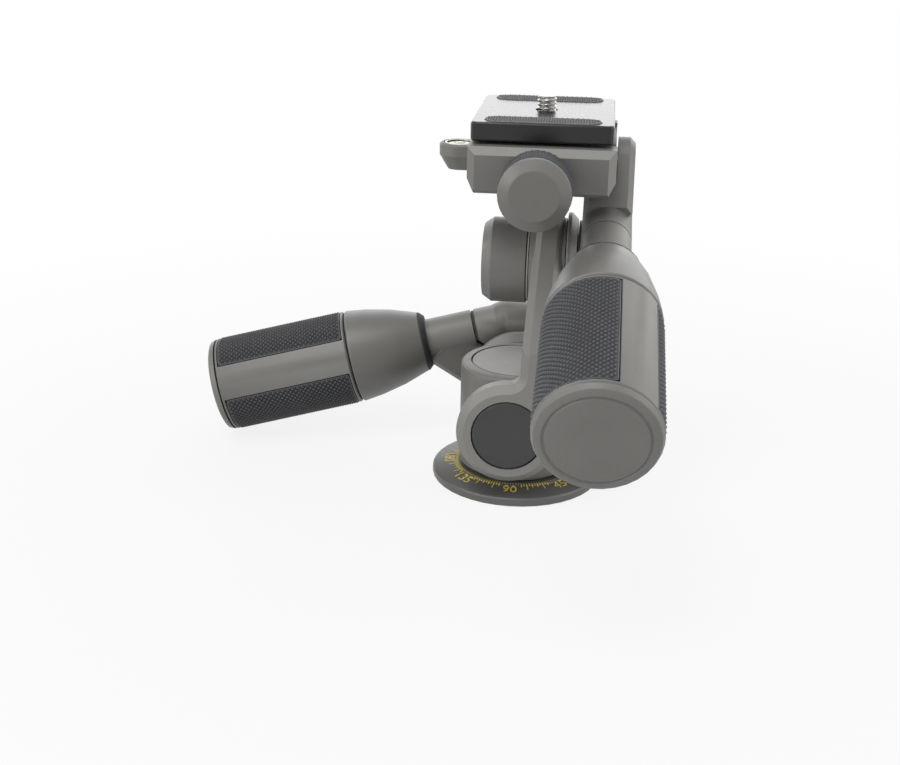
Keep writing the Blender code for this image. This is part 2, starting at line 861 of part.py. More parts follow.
lug_web = slab(
    "level_web", web_profile, level_x, clamp_left + clamp_side_chamfer, side_view, None, "front_tilt_frame"
)

# Right handle's frame and its tongue.
elbow_pin_along = elbow_leg_start + elbow_leg_length * cos(elbow_leg_angle)
elbow_pin_off = elbow_leg_length * sin(elbow_leg_angle)


def handle_axes(heading, droop, pin_below):
    along = Vector((cos(droop) * cos(heading), cos(droop) * sin(heading), -sin(droop)))
    over = Vector((sin(droop) * cos(heading), sin(droop) * sin(heading), cos(droop)))
    toward_pin = -over if pin_below else over
    return along, toward_pin


right_along, right_toward_pin = handle_axes(right_heading, right_droop, False)
right_elbow_x = pocket_wall_x + right_elbow_side_gap + elbow_radius
right_elbow = Vector((right_elbow_x, right_elbow_y, clamp_base - right_elbow_drop))
right_pin = right_elbow + right_along * elbow_pin_along + right_toward_pin * elbow_pin_off
left_along, left_toward_pin = handle_axes(left_heading, left_droop, True)
left_elbow = Vector((
    side_axis_x - left_elbow_back,
    ring_inner + left_elbow_out,
    side_axis_height + left_elbow_rise,
))
left_pin = left_elbow + left_along * elbow_pin_along + left_toward_pin * elbow_pin_off
tongue_half = slot_half_width - fit_gap - fit_gap
tongue_outline = [
    (clamp_rear - clamp_side_chamfer, right_pin.z + right_tongue_half_height),
    *arc(right_pin.y, right_pin.z, right_tongue_half_height, pi / 2, 3 * pi / 2, 12),
    (clamp_rear - clamp_side_chamfer, right_pin.z - right_tongue_half_height),
]
tongue = slab(
    "right_tongue",
    tongue_outline,
    right_elbow_x - tongue_half,
    right_elbow_x + tongue_half,
    side_view,
    None,
    "front_tilt_frame",
)


def pin_hole(name, centre, way, parent):
    reach = elbow_radius + cut_overrun
    bore_radius = hinge_pin_radius + fit_gap
    return cylinder(name, centre - way * reach, centre + way * reach, bore_radius, None, parent)


right_tongue_hole = pin_hole("right_tongue_hole", right_pin, rightward, "front_tilt_frame")
clamp_screw_bore = cylinder(
    "clamp_screw_bore",
    (knob_x, -jaw_seam - cut_overrun, knob_height),
    (knob_x, -clamp_front + clamp_screw_length + fit_gap, knob_height),
    screw_radius + fit_gap,
    None,
    "front_tilt_frame",
)
jaw_pin_inner = -jaw_seam - jaw_pin_length / 2
jaw_pin_outer = -jaw_seam + jaw_pin_length / 2
jaw_pin_spots = (("left", -1, left_pin_share), ("right", 1, right_pin_share))
bed_pin_bores = [
    cylinder(
        "bed_pin_bore_" + side_name,
        (knob_x + side * jaw_pin_reach * share, -jaw_seam - cut_overrun, knob_height),
        (knob_x + side * jaw_pin_reach * share, jaw_pin_outer + fit_gap, knob_height),
        jaw_pin_radius + fit_gap,
        None,
        "front_tilt_frame",
    )
    for side_name, side, share in jaw_pin_spots
]
lens_recess = cylinder(
    "level_recess",
    (level_x, level_y, lug_top - level_depth),
    (level_x, level_y, lug_top + cut_overrun),
    level_ring_radius + fit_gap,
    None,
    "front_tilt_frame",
    32,
)
clamp_plan_tool = slab(
    "clamp_plan",
    clamp_plan,
    clamp_base - cut_overrun,
    clamp_top + cut_overrun,
    top_view,
    None,
    "front_tilt_frame",
)
clamp_face_tool = slab(
    "clamp_face",
    clamp_face,
    -clamp_front - cut_overrun,
    clamp_rear + cut_overrun,
    front_view,
    None,
    "front_tilt_frame",
)
fuse(bed, rear_block)
keep_inside(bed, clamp_plan_tool, clamp_face_tool)
fuse(platform, neck, bed, lug, lug_web, tongue)
cut(platform, right_tongue_hole, clamp_screw_bore, *bed_pin_bores, lens_recess)

barrel_cap_profile = [
    (0.0, barrel_length),
    (barrel_cap_radius, barrel_length),
    (barrel_cap_radius, barrel_length - barrel_cap_height),
    (0.0, barrel_length - barrel_cap_height),
]
turned("barrel_cap", barrel_cap_profile, barrel_matrix, dark_paint, "front_tilt_frame", 32)
boss_face = aimed(front_axis + rightward * arm_boss_left, leftward, upward)
upper_washer_profile = [
    (shaft_radius + fit_gap, fit_gap + washer_thickness),
    (barrel_radius - base_edge, fit_gap + washer_thickness),
    (barrel_radius - base_edge, fit_gap),
    (shaft_radius + fit_gap, fit_gap),
]
turned("upper_washer", upper_washer_profile, boss_face, nylon, "front_tilt_frame", 32)
flange_base = arm_boss_right + fit_gap
flange_matrix = aimed(front_axis + rightward * flange_base, rightward, upward)
flange_profile = [
    (shaft_radius + fit_gap, flange_height),
    (flange_radius - flange_chamfer, flange_height),
    (flange_radius, flange_height - flange_chamfer),
    (flange_radius, flange_edge / 2),
    (flange_radius - flange_edge / 2, 0.0),
    (shaft_radius + fit_gap, 0.0),
]
turned("tilt_flange", flange_profile, flange_matrix, grey_paint, "front_tilt_frame")
shaft_cap_base = flange_height + fit_gap
shaft_cap_profile = [
    (0.0, shaft_cap_base + shaft_cap_height),
    (shaft_cap_radius - flange_edge, shaft_cap_base + shaft_cap_height),
    (shaft_cap_radius, shaft_cap_base + shaft_cap_height - flange_edge),
    (shaft_cap_radius, shaft_cap_base),
    (0.0, shaft_cap_base),
]
turned("shaft_cap", shaft_cap_profile, flange_matrix, dark_paint, "front_tilt_frame")
cylinder(
    "front_shaft",
    front_axis + rightward * (barrel_end - shaft_seat + fit_gap),
    front_axis + rightward * (flange_base + flange_height),
    shaft_radius,
    steel,
    "front_tilt_frame",
)
level_matrix = Matrix.Translation((level_x, level_y, lug_top))
level_ring_profile = [
    (level_ring_radius - level_ring_wall, 0.0),
    (level_ring_radius, 0.0),
    (level_ring_radius, fit_gap - level_depth),
    (level_ring_radius - level_ring_wall, fit_gap - level_depth),
]
turned("level_ring", level_ring_profile, level_matrix, steel, "front_tilt_frame", 32)
lens_radius = level_ring_radius - level_ring_wall - fit_gap
level_vial_profile = [
    (0.0, -level_lens_drop),
    (lens_radius, -level_lens_drop - level_lens_drop),
    (lens_radius, fit_gap - level_depth),
    (0.0, fit_gap - level_depth),
]
turned("level_vial", level_vial_profile, level_matrix, glass_green, "front_tilt_frame", 32)

# Sliding jaw with its two guide pins.
front_lip_top = -rear_lip_top + 2 * plate_y
lip_slope = lip_overhang / bed_depth
jaw_outline = [
    (-jaw_seam, clamp_base),
    (-jaw_seam, bed_top - fit_gap),
    (front_lip_top - lip_slope * (bed_depth + fit_gap), bed_top - fit_gap),
    (front_lip_top, clamp_top),
    (-clamp_front + clamp_top_chamfer, clamp_top),
    (-clamp_front, clamp_top - clamp_top_chamfer),
    (-clamp_front, clamp_base + clamp_base_chamfer),
    (-clamp_front + clamp_base_chamfer, clamp_base),
]
jaw = slab("jaw", jaw_outline, clamp_left, clamp_right, side_view, grey_paint, "jaw_frame")
notch_outline = [
    (pocket_wall_x, -pocket_front),
    (clamp_right + cut_overrun, -pocket_front),
    (clamp_right + cut_overrun, 0.0),
    (pocket_wall_x, 0.0),
]
jaw_notch = slab(
    "jaw_notch", notch_outline, clamp_base - cut_overrun, clamp_top + cut_overrun, top_view, None, "jaw_frame"
)
jaw_screw_bore = cylinder(
    "jaw_screw_bore",
    (knob_x, -clamp_front - cut_overrun, knob_height),
    (knob_x, -jaw_seam + cut_overrun, knob_height),
    screw_radius + fit_gap,
    None,
    "jaw_frame",
)
keep_inside(jaw, clamp_plan_tool, clamp_face_tool)
cut(jaw, jaw_notch, jaw_screw_bore)
for side_name, side, share in jaw_pin_spots:
    pin_x = knob_x + side * jaw_pin_reach * share
    jaw_pin_bore = cylinder(
        "jaw_pin_bore_" + side_name,
        (pin_x, jaw_pin_inner - fit_gap, knob_height),
        (pin_x, -jaw_seam + cut_overrun, knob_height),
        jaw_pin_radius + fit_gap,
        None,
        "jaw_frame",
    )
    cut(jaw, jaw_pin_bore)
    cylinder(
        "jaw_pin_" + side_name,
        (pin_x, jaw_pin_inner, knob_height),
        (pin_x, jaw_pin_outer, knob_height),
        jaw_pin_radius,
        steel,
        "jaw_frame",
    )

# Clamp knob, its ribbed band and its screw.
clamp_knob_matrix = joint_frames["clamp_knob_frame"][1]
knob_hub_radius = knob_radius - knob_band_wall
knob_band_radius = knob_radius + knob_band_proud
knob_band_start = fit_gap + knob_neck_length
knob_band_end = knob_band_start + knob_band_length
knob_face = knob_band_end + knob_head_length
knob_profile = [
    (0.0, knob_face),
    (knob_face_radius, knob_face),
    (knob_radius, knob_face - (knob_radius - knob_face_radius) / 2),
    (knob_radius, knob_band_end),
    (knob_hub_radius, knob_band_end),
    (knob_hub_radius, knob_band_start),
    (knob_neck_radius, knob_band_start),
    (knob_neck_radius, fit_gap),
    (screw_radius + fit_gap, fit_gap),
    (screw_radius + fit_gap, clamp_screw_seat + fit_gap),
    (0.0, clamp_screw_seat + fit_gap),
]
turned("clamp_knob", knob_profile, clamp_knob_matrix, grey_paint, "clamp_knob_frame")
knob_band_profile = [
    (knob_hub_radius + fit_gap, knob_band_end - fit_gap),
    (knob_band_radius, knob_band_end - fit_gap),
    (knob_band_radius, knob_band_start + base_edge),
    (knob_band_radius - base_edge, knob_band_start),
    (knob_hub_radius + fit_gap, knob_band_start),
]
turned("clamp_knob_band", knob_band_profile, clamp_knob_matrix, rubber, "clamp_knob_frame")
clamp_screw_profile = [
    (0.0, clamp_screw_seat),
    (screw_radius, clamp_screw_seat),
    (screw_radius, -clamp_screw_length),
    (0.0, -clamp_screw_length),
]
turned("clamp_screw", clamp_screw_profile, clamp_knob_matrix, steel, "clamp_knob_frame", small_steps)

# Camera plate with its dovetail foot, two strips and the camera screw.
half_width = plate_width / 2
half_length = plate_length / 2
inner_width = half_width - plate_corner
inner_length = half_length - plate_corner
plate_outline = [
    *arc(plate_x + inner_width, plate_y + inner_length, plate_corner, 0.0, pi / 2, 3),
    *arc(plate_x - inner_width, plate_y + inner_length, plate_corner, pi / 2, pi, 3),
    *arc(plate_x - inner_width, plate_y - inner_length, plate_corner, pi, 3 * pi / 2, 3),
    *arc(plate_x + inner_width, plate_y - inner_length, plate_corner, 3 * pi / 2, 2 * pi, 3),
]
plate = slab(
    "camera_plate", plate_outline, plate_base, plate_top, top_view, black_coat, "plate_frame", plate_edge
)
foot_base = bed_top + fit_gap
foot_gap = fit_gap + fit_gap / 4
foot_spread = lip_slope * (clamp_top - foot_base)
foot_outline = [
    (front_lip_top - foot_spread + foot_gap, foot_base),
    (rear_lip_top + foot_spread - foot_gap, foot_base),
    (rear_lip_top - foot_gap, clamp_top),
    (rear_lip_top - foot_gap, plate_base + plate_edge),
    (front_lip_top + foot_gap, plate_base + plate_edge),
    (front_lip_top + foot_gap, clamp_top),
]
foot = slab(
    "plate_foot", foot_outline, plate_x - half_width, pocket_wall_x - fit_gap, side_view, None, "plate_frame"
)
head_recess_top = foot_base + camera_screw_head_height + fit_gap + fit_gap
head_recess = cylinder(
    "screw_head_recess",
    (plate_x, plate_y, foot_base - cut_overrun),
    (plate_x, plate_y, head_recess_top),
    camera_screw_head_radius + fit_gap,
    None,
    "plate_frame",
    32,
)
screw_hole = cylinder(
    "camera_screw_hole",
    (plate_x, plate_y, foot_base),
    (plate_x, plate_y, plate_top + cut_overrun),
    camera_screw_radius + camera_screw_hole_gap,
    None,
    "plate_frame",
)
fuse(plate, foot)
cut(plate, head_recess, screw_hole)


def strip_outline(y_centre, gap):
    return [
        *arc(plate_x + strip_half_length - strip_half_width, y_centre, strip_half_width + gap, -pi / 2, pi / 2, 8),
        *arc(plate_x - strip_half_length + strip_half_width, y_centre, strip_half_width + gap, pi / 2, 3 * pi / 2, 8),
    ]


for strip_name, strip_y in (("front", plate_y - strip_offset), ("rear", plate_y + strip_offset)):
    strip_floor = plate_top - strip_sink
    strip_seat = slab(
        strip_name + "_strip_seat",
        strip_outline(strip_y, fit_gap),
        strip_floor,
        plate_top + cut_overrun,
        top_view,
        None,
        "plate_frame",
    )
    cut(plate, strip_seat)
    slab(
        strip_name + "_strip",
        strip_outline(strip_y, 0.0),
        strip_floor + fit_gap / 2,
        strip_floor + fit_gap / 2 + strip_thickness,
        top_view,
        rubber,
        "plate_frame",
    )
screw_matrix = Matrix.Translation((plate_x, plate_y, foot_base + fit_gap))
screw_top = plate_top + camera_screw_height - foot_base - fit_gap
camera_screw_profile = [
    (0.0, screw_top),
    (camera_screw_radius - base_edge, screw_top),
    (camera_screw_radius, screw_top - base_edge),
    (camera_screw_radius, camera_screw_head_height),
    (camera_screw_head_radius, camera_screw_head_height),
    (camera_screw_head_radius, 0.0),
    (0.0, 0.0),
]
turned("camera_screw", camera_screw_profile, screw_matrix, steel, "camera_screw_frame", small_steps)

# Left knuckle: a bent stub from the arm to the elbow, with a tongue for the hinge pin.
stub_end_x = arm_left - fit_gap
stub_start = left_elbow - left_along * elbow_cut_gap
stub_bend = left_elbow - left_along * stub_straight
stub_finish = Vector((stub_end_x, stub_y, stub_z))
stub_turn_in = stub_finish + leftward * stub_run
bend_pull = (stub_turn_in - stub_bend).length / 3
bend_in = stub_bend - left_along * bend_pull
bend_out = stub_turn_in + leftward * bend_pull
bend_centres = []
for i in range(arc_steps + 1):
    share = i / arc_steps
    first = stub_bend.lerp(bend_in, share)
    middle = bend_in.lerp(bend_out, share)
    last = bend_out.lerp(stub_turn_in, share)
    bend_centres.append(first.lerp(middle, share).lerp(middle.lerp(last, share), share))
left_knuckle = rod(
    "left_knuckle", [stub_start, *bend_centres, stub_finish], elbow_radius, grey_paint, "side_tilt_frame"
)


# An outline in a handle's own plane: u runs along the handle, v runs toward the hinge pin.
def handle_plane(elbow, along, toward_pin):
    across = along.cross(toward_pin)
    turn = Matrix((along, toward_pin, across)).transposed().to_4x4()

    def view(offset):
        return Matrix.Translation(elbow + across * offset) @ turn

    return view


def leg_outline(radius, start, steps=12):
    leg_way = elbow_leg_angle
    tip_u = elbow_pin_along
    tip_v = elbow_pin_off
    foot_u = elbow_pin_along - cos(leg_way) * start
    foot_v = elbow_pin_off - sin(leg_way) * start
    side_u = sin(leg_way) * radius
    side_v = -cos(leg_way) * radius
    return [
        (foot_u + side_u, foot_v + side_v),
        *arc(tip_u, tip_v, radius, leg_way - pi / 2, leg_way + pi / 2, steps),
        (foot_u - side_u, foot_v - side_v),
    ]


left_plane = handle_plane(left_elbow, left_along, left_toward_pin)
right_plane = handle_plane(right_elbow, right_along, right_toward_pin)
mitre_half = elbow_radius + cut_overrun
mitre = slab(
    "left_mitre",
    leg_outline(elbow_lobe_radius + elbow_cut_gap, elbow_leg_length),
    -mitre_half,
    mitre_half,
    left_plane,
    None,
    "side_tilt_frame",
)
left_tongue_length = elbow_leg_length - cut_overrun - cut_overrun
bar_way = elbow_leg_angle - pi / 2 + pi
bar_u = elbow_pin_along + cos(bar_way) * left_tongue_length
bar_v = elbow_pin_off + sin(bar_way) * left_tongue_length
bar_side_u = -sin(bar_way) * tongue_radius
bar_side_v = cos(bar_way) * tongue_radius
left_tongue_outline = [
    (bar_u + bar_side_u, bar_v + bar_side_v),
    *arc(elbow_pin_along, elbow_pin_off, tongue_radius, bar_way + pi / 2, bar_way + 3 * pi / 2, 12),
    (bar_u - bar_side_u, bar_v - bar_side_v),
]
left_tongue = slab(
    "left_tongue", left_tongue_outline, -tongue_half, tongue_half, left_plane, None, "side_tilt_frame"
)
left_pin_way = left_along.cross(left_toward_pin)
left_tongue_hole = pin_hole("left_tongue_hole", left_pin, left_pin_way, "side_tilt_frame")
cut(left_knuckle, mitre)
combine(left_knuckle, left_tongue, "UNION", "MANIFOLD")
cut(left_knuckle, left_tongue_hole)


# One handle: elbow on its hinge pin, tube that turns in the elbow,
# sliding grip of cone, core, panels and cap.
def make_handle(side, elbow, along, toward_pin, pin, plane, carrier, grip_turn, extension, inner_ear):
    across = along.cross(toward_pin)
    fold_name = side + "_fold_frame"
    twist_name = side + "_twist_frame"
    slide_name = side + "_slide_frame"
    joint_frame(fold_name, aimed(pin, across, along), carrier)
    axis_matrix = aimed(elbow, along, toward_pin)
    joint_frame(twist_name, axis_matrix, fold_name)
    grip_matrix = axis_matrix @ Matrix.Translation((0.0, 0.0, extension)) @ Matrix.Rotation(grip_turn, 4, "Z")
    joint_frame(slide_name, grip_matrix, twist_name)
    elbow_profile = [
        (0.0, elbow_length),
        (elbow_radius, elbow_length),
        (elbow_radius, 0.0),
        (0.0, 0.0),
    ]
    elbow_part = turned(side + "_elbow", elbow_profile, axis_matrix, grey_paint, fold_name)
    lobe_low = elbow_pin_off / sin(elbow_leg_angle)
    lobe_half = elbow_radius - elbow_side_trim
    lobe = slab(
        side + "_elbow_lobe",
        leg_outline(elbow_lobe_radius, lobe_low - elbow_side_trim),
        -lobe_half,
        lobe_half,
        plane,
        None,
        fold_name,
        elbow_lobe_chamfer,
    )
    half_space = [
        (-elbow_length, elbow_side_trim),
        (cone_start - fit_gap, elbow_side_trim),
        (cone_start - fit_gap, elbow_length + elbow_length),
        (-elbow_length, elbow_length + elbow_length),
    ]
    upper_half = slab(
        side + "_lobe_side", half_space, -mitre_half, mitre_half, plane, None, fold_name
    )
    slot_reach = elbow_lobe_radius + cut_overrun
    leg_u = cos(elbow_leg_angle)
    leg_v = sin(elbow_leg_angle)
    floor_u = elbow_pin_along - leg_u * slot_rest
    floor_v = elbow_pin_off - leg_v * slot_rest
    slot_wide = slot_reach + slot_reach
    slot_outline = [
        (floor_u + leg_v * slot_reach, floor_v - leg_u * slot_reach),
        (floor_u + leg_v * slot_reach + leg_u * slot_wide, floor_v - leg_u * slot_reach + leg_v * slot_wide),
        (floor_u - leg_v * slot_wide + leg_u * slot_wide, floor_v + leg_u * slot_wide + leg_v * slot_wide),
        (floor_u - leg_v * slot_wide, floor_v + leg_u * slot_wide),
    ]
    slot = slab(side + "_slot", slot_outline, -slot_half_width, slot_half_width, plane, None, fold_name)
    hole = pin_hole(side + "_elbow_pin_hole", pin, across, fold_name)
    spigot_bore = cylinder(
        side + "_spigot_bore",
        elbow + along * (tube_spigot_start - fit_gap),
        elbow + along * (elbow_length + cut_overrun),
        tube_spigot_radius + fit_gap,
        None,
        fold_name,
    )
    keep_inside(lobe, upper_half)
    fuse(elbow_part, lobe)
    cut(elbow_part, slot)
    if inner_ear:
        tip_start = elbow_leg_angle - pi / 2
        tip_end = elbow_leg_angle + pi / 2
        ear_trim = slab(
            side + "_ear_trim",
            [
                *arc(elbow_pin_along, elbow_pin_off, inner_ear, tip_start, tip_end),
                *arc(elbow_pin_along, elbow_pin_off, slot_reach, tip_end, tip_start),
            ],
            slot_half_width / 2,
            lobe_half + cut_overrun,
            plane,
            None,
            fold_name,
        )
        cut(elbow_part, ear_trim)
    cut(elbow_part, hole, spigot_bore)
    cylinder(
        side + "_hinge_pin",
        pin - across * lobe_half,
        pin + across * lobe_half,
        hinge_pin_radius,
        steel,
        carrier,
    )
    tube_start = elbow_length + fit_gap
    tube_profile = [
        (0.0, tube_end),
        (elbow_radius - base_edge, tube_end),
        (elbow_radius, tube_end - base_edge),
        (elbow_radius, tube_start),
        (tube_spigot_radius, tube_start),
        (tube_spigot_radius, tube_spigot_start),
        (0.0, tube_spigot_start),
    ]
    turned(side + "_tube", tube_profile, axis_matrix, grey_paint, twist_name, 32)
    bore = elbow_radius + fit_gap
    cone_end = grip_start - fit_gap / 2
    cone_rise = grip_start - cone_start
    cone_swell = grip_radius - cone_nose_radius
    belly = cone_swell * cone_belly_share
    cone_profile = [
        (bore, cone_end),
        (grip_radius - grip_seam_edge, cone_end),
        (grip_radius, cone_end - grip_seam_edge),
        *[
            (cone_nose_radius + cone_swell * share + belly, cone_start + cone_rise * share)
            for share in cone_shares
        ],
        (cone_nose_radius, cone_start + cone_nose_round),
        (cone_nose_radius - cone_nose_round, cone_start),
        (bore, cone_start),
    ]
    turned(side + "_cone", cone_profile, grip_matrix, grey_paint, slide_name)
    core_base = grip_start + fit_gap / 2
    core_profile = [
        (bore, grip_end),
        (grip_radius - grip_seam_edge, grip_end),
        (grip_radius, grip_end - grip_seam_edge),
        (grip_radius, core_base + grip_seam_edge),
        (grip_radius - grip_seam_edge, core_base),
        (bore, core_base),
    ]
    core = turned(side + "_grip_core", core_profile, grip_matrix, grey_paint, slide_name)
    seat_radius = grip_radius - panel_depth
    panel_angle = 2 * pi * panel_share
    for panel_name, middle in (("upper", 0.0), ("lower", pi)):
        half_panel = panel_angle / 2
        wide = grip_radius + grip_radius
        seat_turns = arc(0.0, 0.0, wide, middle - half_panel, middle + half_panel, 6)
        trim = fit_gap / seat_radius
        panel_turns = arc(0.0, 0.0, wide, middle - half_panel + trim, middle + half_panel - trim, 6)

        def grip_view(offset):
            return grip_matrix @ Matrix.Translation((0.0, 0.0, offset))

        seat_wedge = slab(
            side + "_seat_wedge_" + panel_name,
            [(0.0, 0.0), *seat_turns],
            panel_start - fit_gap,
            panel_end + fit_gap,
            grip_view,
            None,
            slide_name,
        )
        seat_ring_profile = [
            (seat_radius, panel_end + fit_gap),
            (wide, panel_end + fit_gap),
            (wide, panel_start - fit_gap),
            (seat_radius, panel_start - fit_gap),
        ]
        seat_ring = turned(
            side + "_seat_ring_" + panel_name, seat_ring_profile, grip_matrix, None, slide_name
        )
        keep_inside(seat_ring, seat_wedge)
        cut(core, seat_ring)
        panel_wedge = slab(
            side + "_panel_wedge_" + panel_name,
            [(0.0, 0.0), *panel_turns],
            panel_start - cut_overrun,
            panel_end + cut_overrun,
            grip_view,
            None,
            slide_name,
        )
        panel_profile = [
            (seat_radius + fit_gap, panel_end),
            (grip_radius, panel_end),
            (grip_radius, panel_start),
            (seat_radius + fit_gap, panel_start),
        ]
        panel = turned(side + "_panel_" + panel_name, panel_profile, grip_matrix, rubber, slide_name)
        keep_inside(panel, panel_wedge)
    cap_base = grip_end + fit_gap
    cap_profile = [
        (0.0, handle_end),
        (end_groove_radius - end_groove, handle_end),
        (end_groove_radius, handle_end - end_groove),
        (end_groove_radius + end_groove, handle_end),
        (grip_radius - end_round, handle_end),
        (grip_radius - end_round * end_round_share, handle_end - end_round * end_round_share),
        (grip_radius, handle_end - end_round),
        (grip_radius, cap_base),
        (elbow_radius, cap_base),
        (elbow_radius, cap_base - plug_length),
        (0.0, cap_base - plug_length),
    ]
    turned(side + "_end_cap", cap_profile, grip_matrix, grey_paint, slide_name)


make_handle(
    "left",
    left_elbow,
    left_along,
    left_toward_pin,
    left_pin,
    left_plane,
    "side_tilt_frame",
    left_grip_turn,
    left_extension,
    None,
)
make_handle(
    "right",
    right_elbow,
    right_along,
    right_toward_pin,
    right_pin,
    right_plane,
    "front_tilt_frame",
    right_grip_turn,
    right_extension,
    right_inner_ear_radius,
)
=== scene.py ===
# Three way pan tilt head for a camera: finishes, fine details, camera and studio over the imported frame.
# Lengths are in metres, +Z is up and the user stands at -Y.
import json
from math import atan2, cos, pi, radians, sin

import bmesh
import bpy
import numpy as np
from mathutils import Matrix, Vector


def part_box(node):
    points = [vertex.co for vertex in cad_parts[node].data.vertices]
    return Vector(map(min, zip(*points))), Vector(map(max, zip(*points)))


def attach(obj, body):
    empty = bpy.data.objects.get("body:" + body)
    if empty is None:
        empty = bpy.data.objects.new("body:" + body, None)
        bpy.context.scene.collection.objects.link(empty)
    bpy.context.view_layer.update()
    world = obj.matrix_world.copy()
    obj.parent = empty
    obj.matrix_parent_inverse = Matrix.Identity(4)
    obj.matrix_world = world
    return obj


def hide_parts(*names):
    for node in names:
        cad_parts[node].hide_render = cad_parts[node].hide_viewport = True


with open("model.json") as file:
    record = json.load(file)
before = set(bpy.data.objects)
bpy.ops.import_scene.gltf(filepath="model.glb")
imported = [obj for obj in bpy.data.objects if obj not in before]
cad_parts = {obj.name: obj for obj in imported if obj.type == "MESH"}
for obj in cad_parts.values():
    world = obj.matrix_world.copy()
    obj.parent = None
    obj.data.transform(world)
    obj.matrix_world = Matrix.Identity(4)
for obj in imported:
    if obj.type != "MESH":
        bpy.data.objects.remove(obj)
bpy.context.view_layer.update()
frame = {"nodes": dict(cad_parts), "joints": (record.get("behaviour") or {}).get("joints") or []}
print("frame loaded:", len(frame["nodes"]), "nodes")


# Camera, where the photograph was taken from. Angles are in degrees, the lens in millimetres.
cameraSetup = {
    "place": (0.0248, -0.4475, 0.2011), "azimuth": 6.28, "elevation": 20.46, "roll": 0.97,
    "lens": 53.84, "sensor": 36.0, "clipStart": 0.01,
}


def addCamera(setup):
    azimuth, elevation, roll = (radians(setup[key]) for key in ("azimuth", "elevation", "roll"))
    back = Vector((sin(azimuth) * cos(elevation), -cos(azimuth) * cos(elevation), sin(elevation)))
    right = Vector((cos(azimuth), sin(azimuth), 0.0))
    up = back.cross(right)
    rolledRight = right * cos(roll) + up * sin(roll)
    rolledUp = up * cos(roll) - right * sin(roll)
    cameraData = bpy.data.cameras.new("photoCamera")
    cameraData.lens = setup["lens"]
    cameraData.sensor_width = setup["sensor"]
    cameraData.clip_start = setup["clipStart"]
    camera = bpy.data.objects.new("photoCamera", cameraData)
    turn = Matrix((rolledRight, rolledUp, back)).transposed().to_4x4()
    camera.matrix_world = Matrix.Translation(setup["place"]) @ turn
    bpy.context.scene.collection.objects.link(camera)
    bpy.context.scene.camera = camera


addCamera(cameraSetup)
bpy.context.scene.view_settings.view_transform = "Standard"
print("camera set")


# Tools for materials made of nodes.
def newMaterial(name, finish):
    material = bpy.data.materials.new(name)
    material.use_nodes = True
    shader = material.node_tree.nodes["Principled BSDF"]
    for socket, value in finish.items():
        shader.inputs[socket].default_value = (*value, 1.0) if isinstance(value, tuple) else value
    return material, material.node_tree, shader


def addNode(tree, kind, settings=None, inputs=None):
    made = tree.nodes.new("ShaderNode" + kind)
    for key, value in (settings or {}).items():
        setattr(made, key, value)
    for key, value in (inputs or {}).items():
        if isinstance(value, bpy.types.NodeSocket):
            tree.links.new(value, made.inputs[key])
        else:
            made.inputs[key].default_value = value
    return made


def grain(tree, scale, detail, stretch=(1.0, 1.0, 1.0)):
    place = addNode(tree, "TexCoord").outputs["Object"]
    sized = addNode(tree, "Mapping", inputs={"Vector": place, "Scale": stretch})
    noise = addNode(tree, "TexNoise", inputs={"Vector": sized.outputs[0], "Scale": scale, "Detail": detail})
    return noise.outputs["Fac"]


def ramp(tree, factor, stops):
    made = addNode(tree, "ValToRGB", inputs={"Fac": factor})
    elements = made.color_ramp.elements
    while len(elements) < len(stops):
        elements.new(0.5)
    for element, (place, colour) in zip(elements, stops):
        element.position = place
        element.color = (*colour, 1.0) if isinstance(colour, tuple) else (colour, colour, colour, 1.0)
    return made.outputs["Color"]


def tinted(colour, share):
    return tuple(min(1.0, part * share) for part in colour)


# A colour that drifts between two shades of itself.
def mottled(tree, factor, colour, darkest, lightest, stops=(0.3, 0.7)):
    return ramp(tree, factor, ((stops[0], tinted(colour, darkest)), (stops[1], tinted(colour, lightest))))


# Sockets 0, 6 and 7 of the mix node are the factor and its two colours, output 2 is the mixed colour.
def mixColours(tree, factor, first, second, blend="MIX"):
    made = addNode(tree, "Mix", {"data_type": "RGBA", "blend_type": blend})
    for key, value in ((0, factor), (6, first), (7, second)):
        if isinstance(value, bpy.types.NodeSocket):
            tree.links.new(value, made.inputs[key])
        else:
            made.inputs[key].default_value = (*value, 1.0) if isinstance(value, tuple) else value
    return made.outputs[2]


def scaled(tree, factor, low, high):
    return addNode(tree, "MapRange", inputs={"Value": factor, "To Min": low, "To Max": high}).outputs["Result"]


def fadeIn(tree, factor, start, end):
    return ramp(tree, factor, ((start, 0.0), (end, 1.0)))


def edgeWear(tree, start, end):
    return fadeIn(tree, addNode(tree, "NewGeometry").outputs["Pointiness"], start, end)


def coat(tree, shader, colour, roughness):
    tree.links.new(colour, shader.inputs["Base Color"])
    tree.links.new(roughness, shader.inputs["Roughness"])


def bumped(tree, shader, height, strength, distance):
    bump = addNode(tree, "Bump", inputs={"Height": height, "Strength": strength, "Distance": distance})
    tree.links.new(bump.outputs["Normal"], shader.inputs["Normal"])


# In the looks below a grain is its scale and detail, a bump its strength and depth, and shades multiply the colour.

